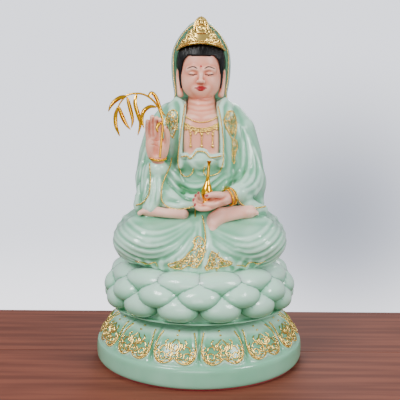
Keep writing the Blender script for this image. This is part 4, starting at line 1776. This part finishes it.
# %% [markdown]
# ## Studio
# The figure stands on a table of reddish brown boards in front of a pale wall. Two large soft
# boxes give the long white patches that polished resin shows. The pale wall is part of the world,
# so the figure can be looked at from any side.

# %% Lights
def light(name, place, aim, size, power, tint="#FFFFFF"):
    lamp = bpy.data.objects.new(name, bpy.data.lights.new(name, "AREA"))
    bpy.context.scene.collection.objects.link(lamp)
    lamp.data.shape = "RECTANGLE"
    lamp.data.size, lamp.data.size_y = size
    lamp.data.energy = power
    lamp.data.color = colour(tint)[:3]
    lamp.location = place
    lamp.rotation_euler = (Vector(aim) - Vector(place)).to_track_quat("-Z", "Y").to_euler()
    return lamp


light("soft_box_left", (-0.75, -0.95, 1.15), (0, 0, 0.2), (0.5, 0.5), 20)
light("soft_box_right", (1.0, -0.8, 0.75), (0, 0, 0.2), (0.35, 0.5), 11)
light("fill_front_low", (-0.1, -1.25, 0.22), (0, 0, 0.08), (0.7, 0.3), 3)
light("soft_box_back", (0.3, 1.2, 1.1), (0, 0, 0.25), (0.9, 0.6), 9)

# %% World: one strength lights the figure, another is what the camera sees
WALL_TOP, WALL_LOW, WALL_SHADE = "#CDCFD8", "#E8E8EF", "#868A95"
WORLD_LIGHT, WORLD_SEEN = 0.66, 2.7
world = bpy.data.worlds.new("studio")
bpy.context.scene.world = world
world.use_nodes = True
sky = world.node_tree
sky.nodes.clear()
heading = add(sky, "ShaderNodeTexCoord").outputs["Generated"]
axes = add(sky, "ShaderNodeSeparateXYZ", {"Vector": heading})
rise = add(sky, "ShaderNodeMapRange", {"Value": axes.outputs["Z"], "From Min": -0.28, "From Max": -0.12})
wall = ramp(sky, rise.outputs[0], [(0.0, WALL_LOW), (1.0, WALL_TOP)])
shade_gap = add(sky, "ShaderNodeVectorMath", {0: heading, 1: (0.235, 0.966, -0.11)}, operation="DISTANCE")
shade_amount = add(sky, "ShaderNodeMapRange", {"Value": shade_gap.outputs["Value"], "From Min": 0.0,
                                               "From Max": 0.3,
                                               "To Min": 1.0, "To Max": 0.0}, interpolation_type="SMOOTHSTEP")
seen = add(sky, "ShaderNodeMix", data_type="RGBA")
sky.links.new(shade_amount.outputs[0], seen.inputs[0])
sky.links.new(wall, seen.inputs[6])
seen.inputs[7].default_value = colour(WALL_SHADE)
camera_ray = add(sky, "ShaderNodeLightPath").outputs["Is Camera Ray"]
lit = add(sky, "ShaderNodeBackground", {"Color": colour("#E8ECF2"), "Strength": WORLD_LIGHT})
shown = add(sky, "ShaderNodeBackground", {"Color": seen.outputs[2], "Strength": WORLD_SEEN})
both = add(sky, "ShaderNodeMixShader", {0: camera_ray, 1: lit.outputs[0], 2: shown.outputs[0]})
add(sky, "ShaderNodeOutputWorld", {"Surface": both.outputs[0]})

# %% Table: boards that run across, with a fine groove between two of them
TABLE_BACK, BOARD, GROOVE = 164, 166, 0.5
table_wood = wood_material("red_brown_table_board", "#7E4534", "#643326", (5, 90, 90), 0.6)
rows = [TABLE_BACK - k * BOARD for k in range(6)]
for k in range(5):
    front, back = rows[k + 1] + GROOVE, rows[k] - GROOVE
    plank = mesh_piece(f"table_board_{k + 1}", [
        (-900, front, -0.2), (900, front, -0.2), (900, back, -0.2), (-900, back, -0.2),
        (-900, front, -18), (900, front, -18), (900, back, -18), (-900, back, -18)],
        [(0, 1, 2, 3), (7, 6, 5, 4), (0, 4, 5, 1), (1, 5, 6, 2), (2, 6, 7, 3), (3, 7, 4, 0)], smooth=False)
    plank.data.materials.append(table_wood)

under = mesh_piece("table_underlay", [(-899, rows[5] + 1, -1.4), (899, rows[5] + 1, -1.4),
                                      (899, rows[0] - 1, -1.4),
                                      (-899, rows[0] - 1, -1.4)], [(0, 1, 2, 3)], smooth=False)
under.data.materials.append(table_wood)
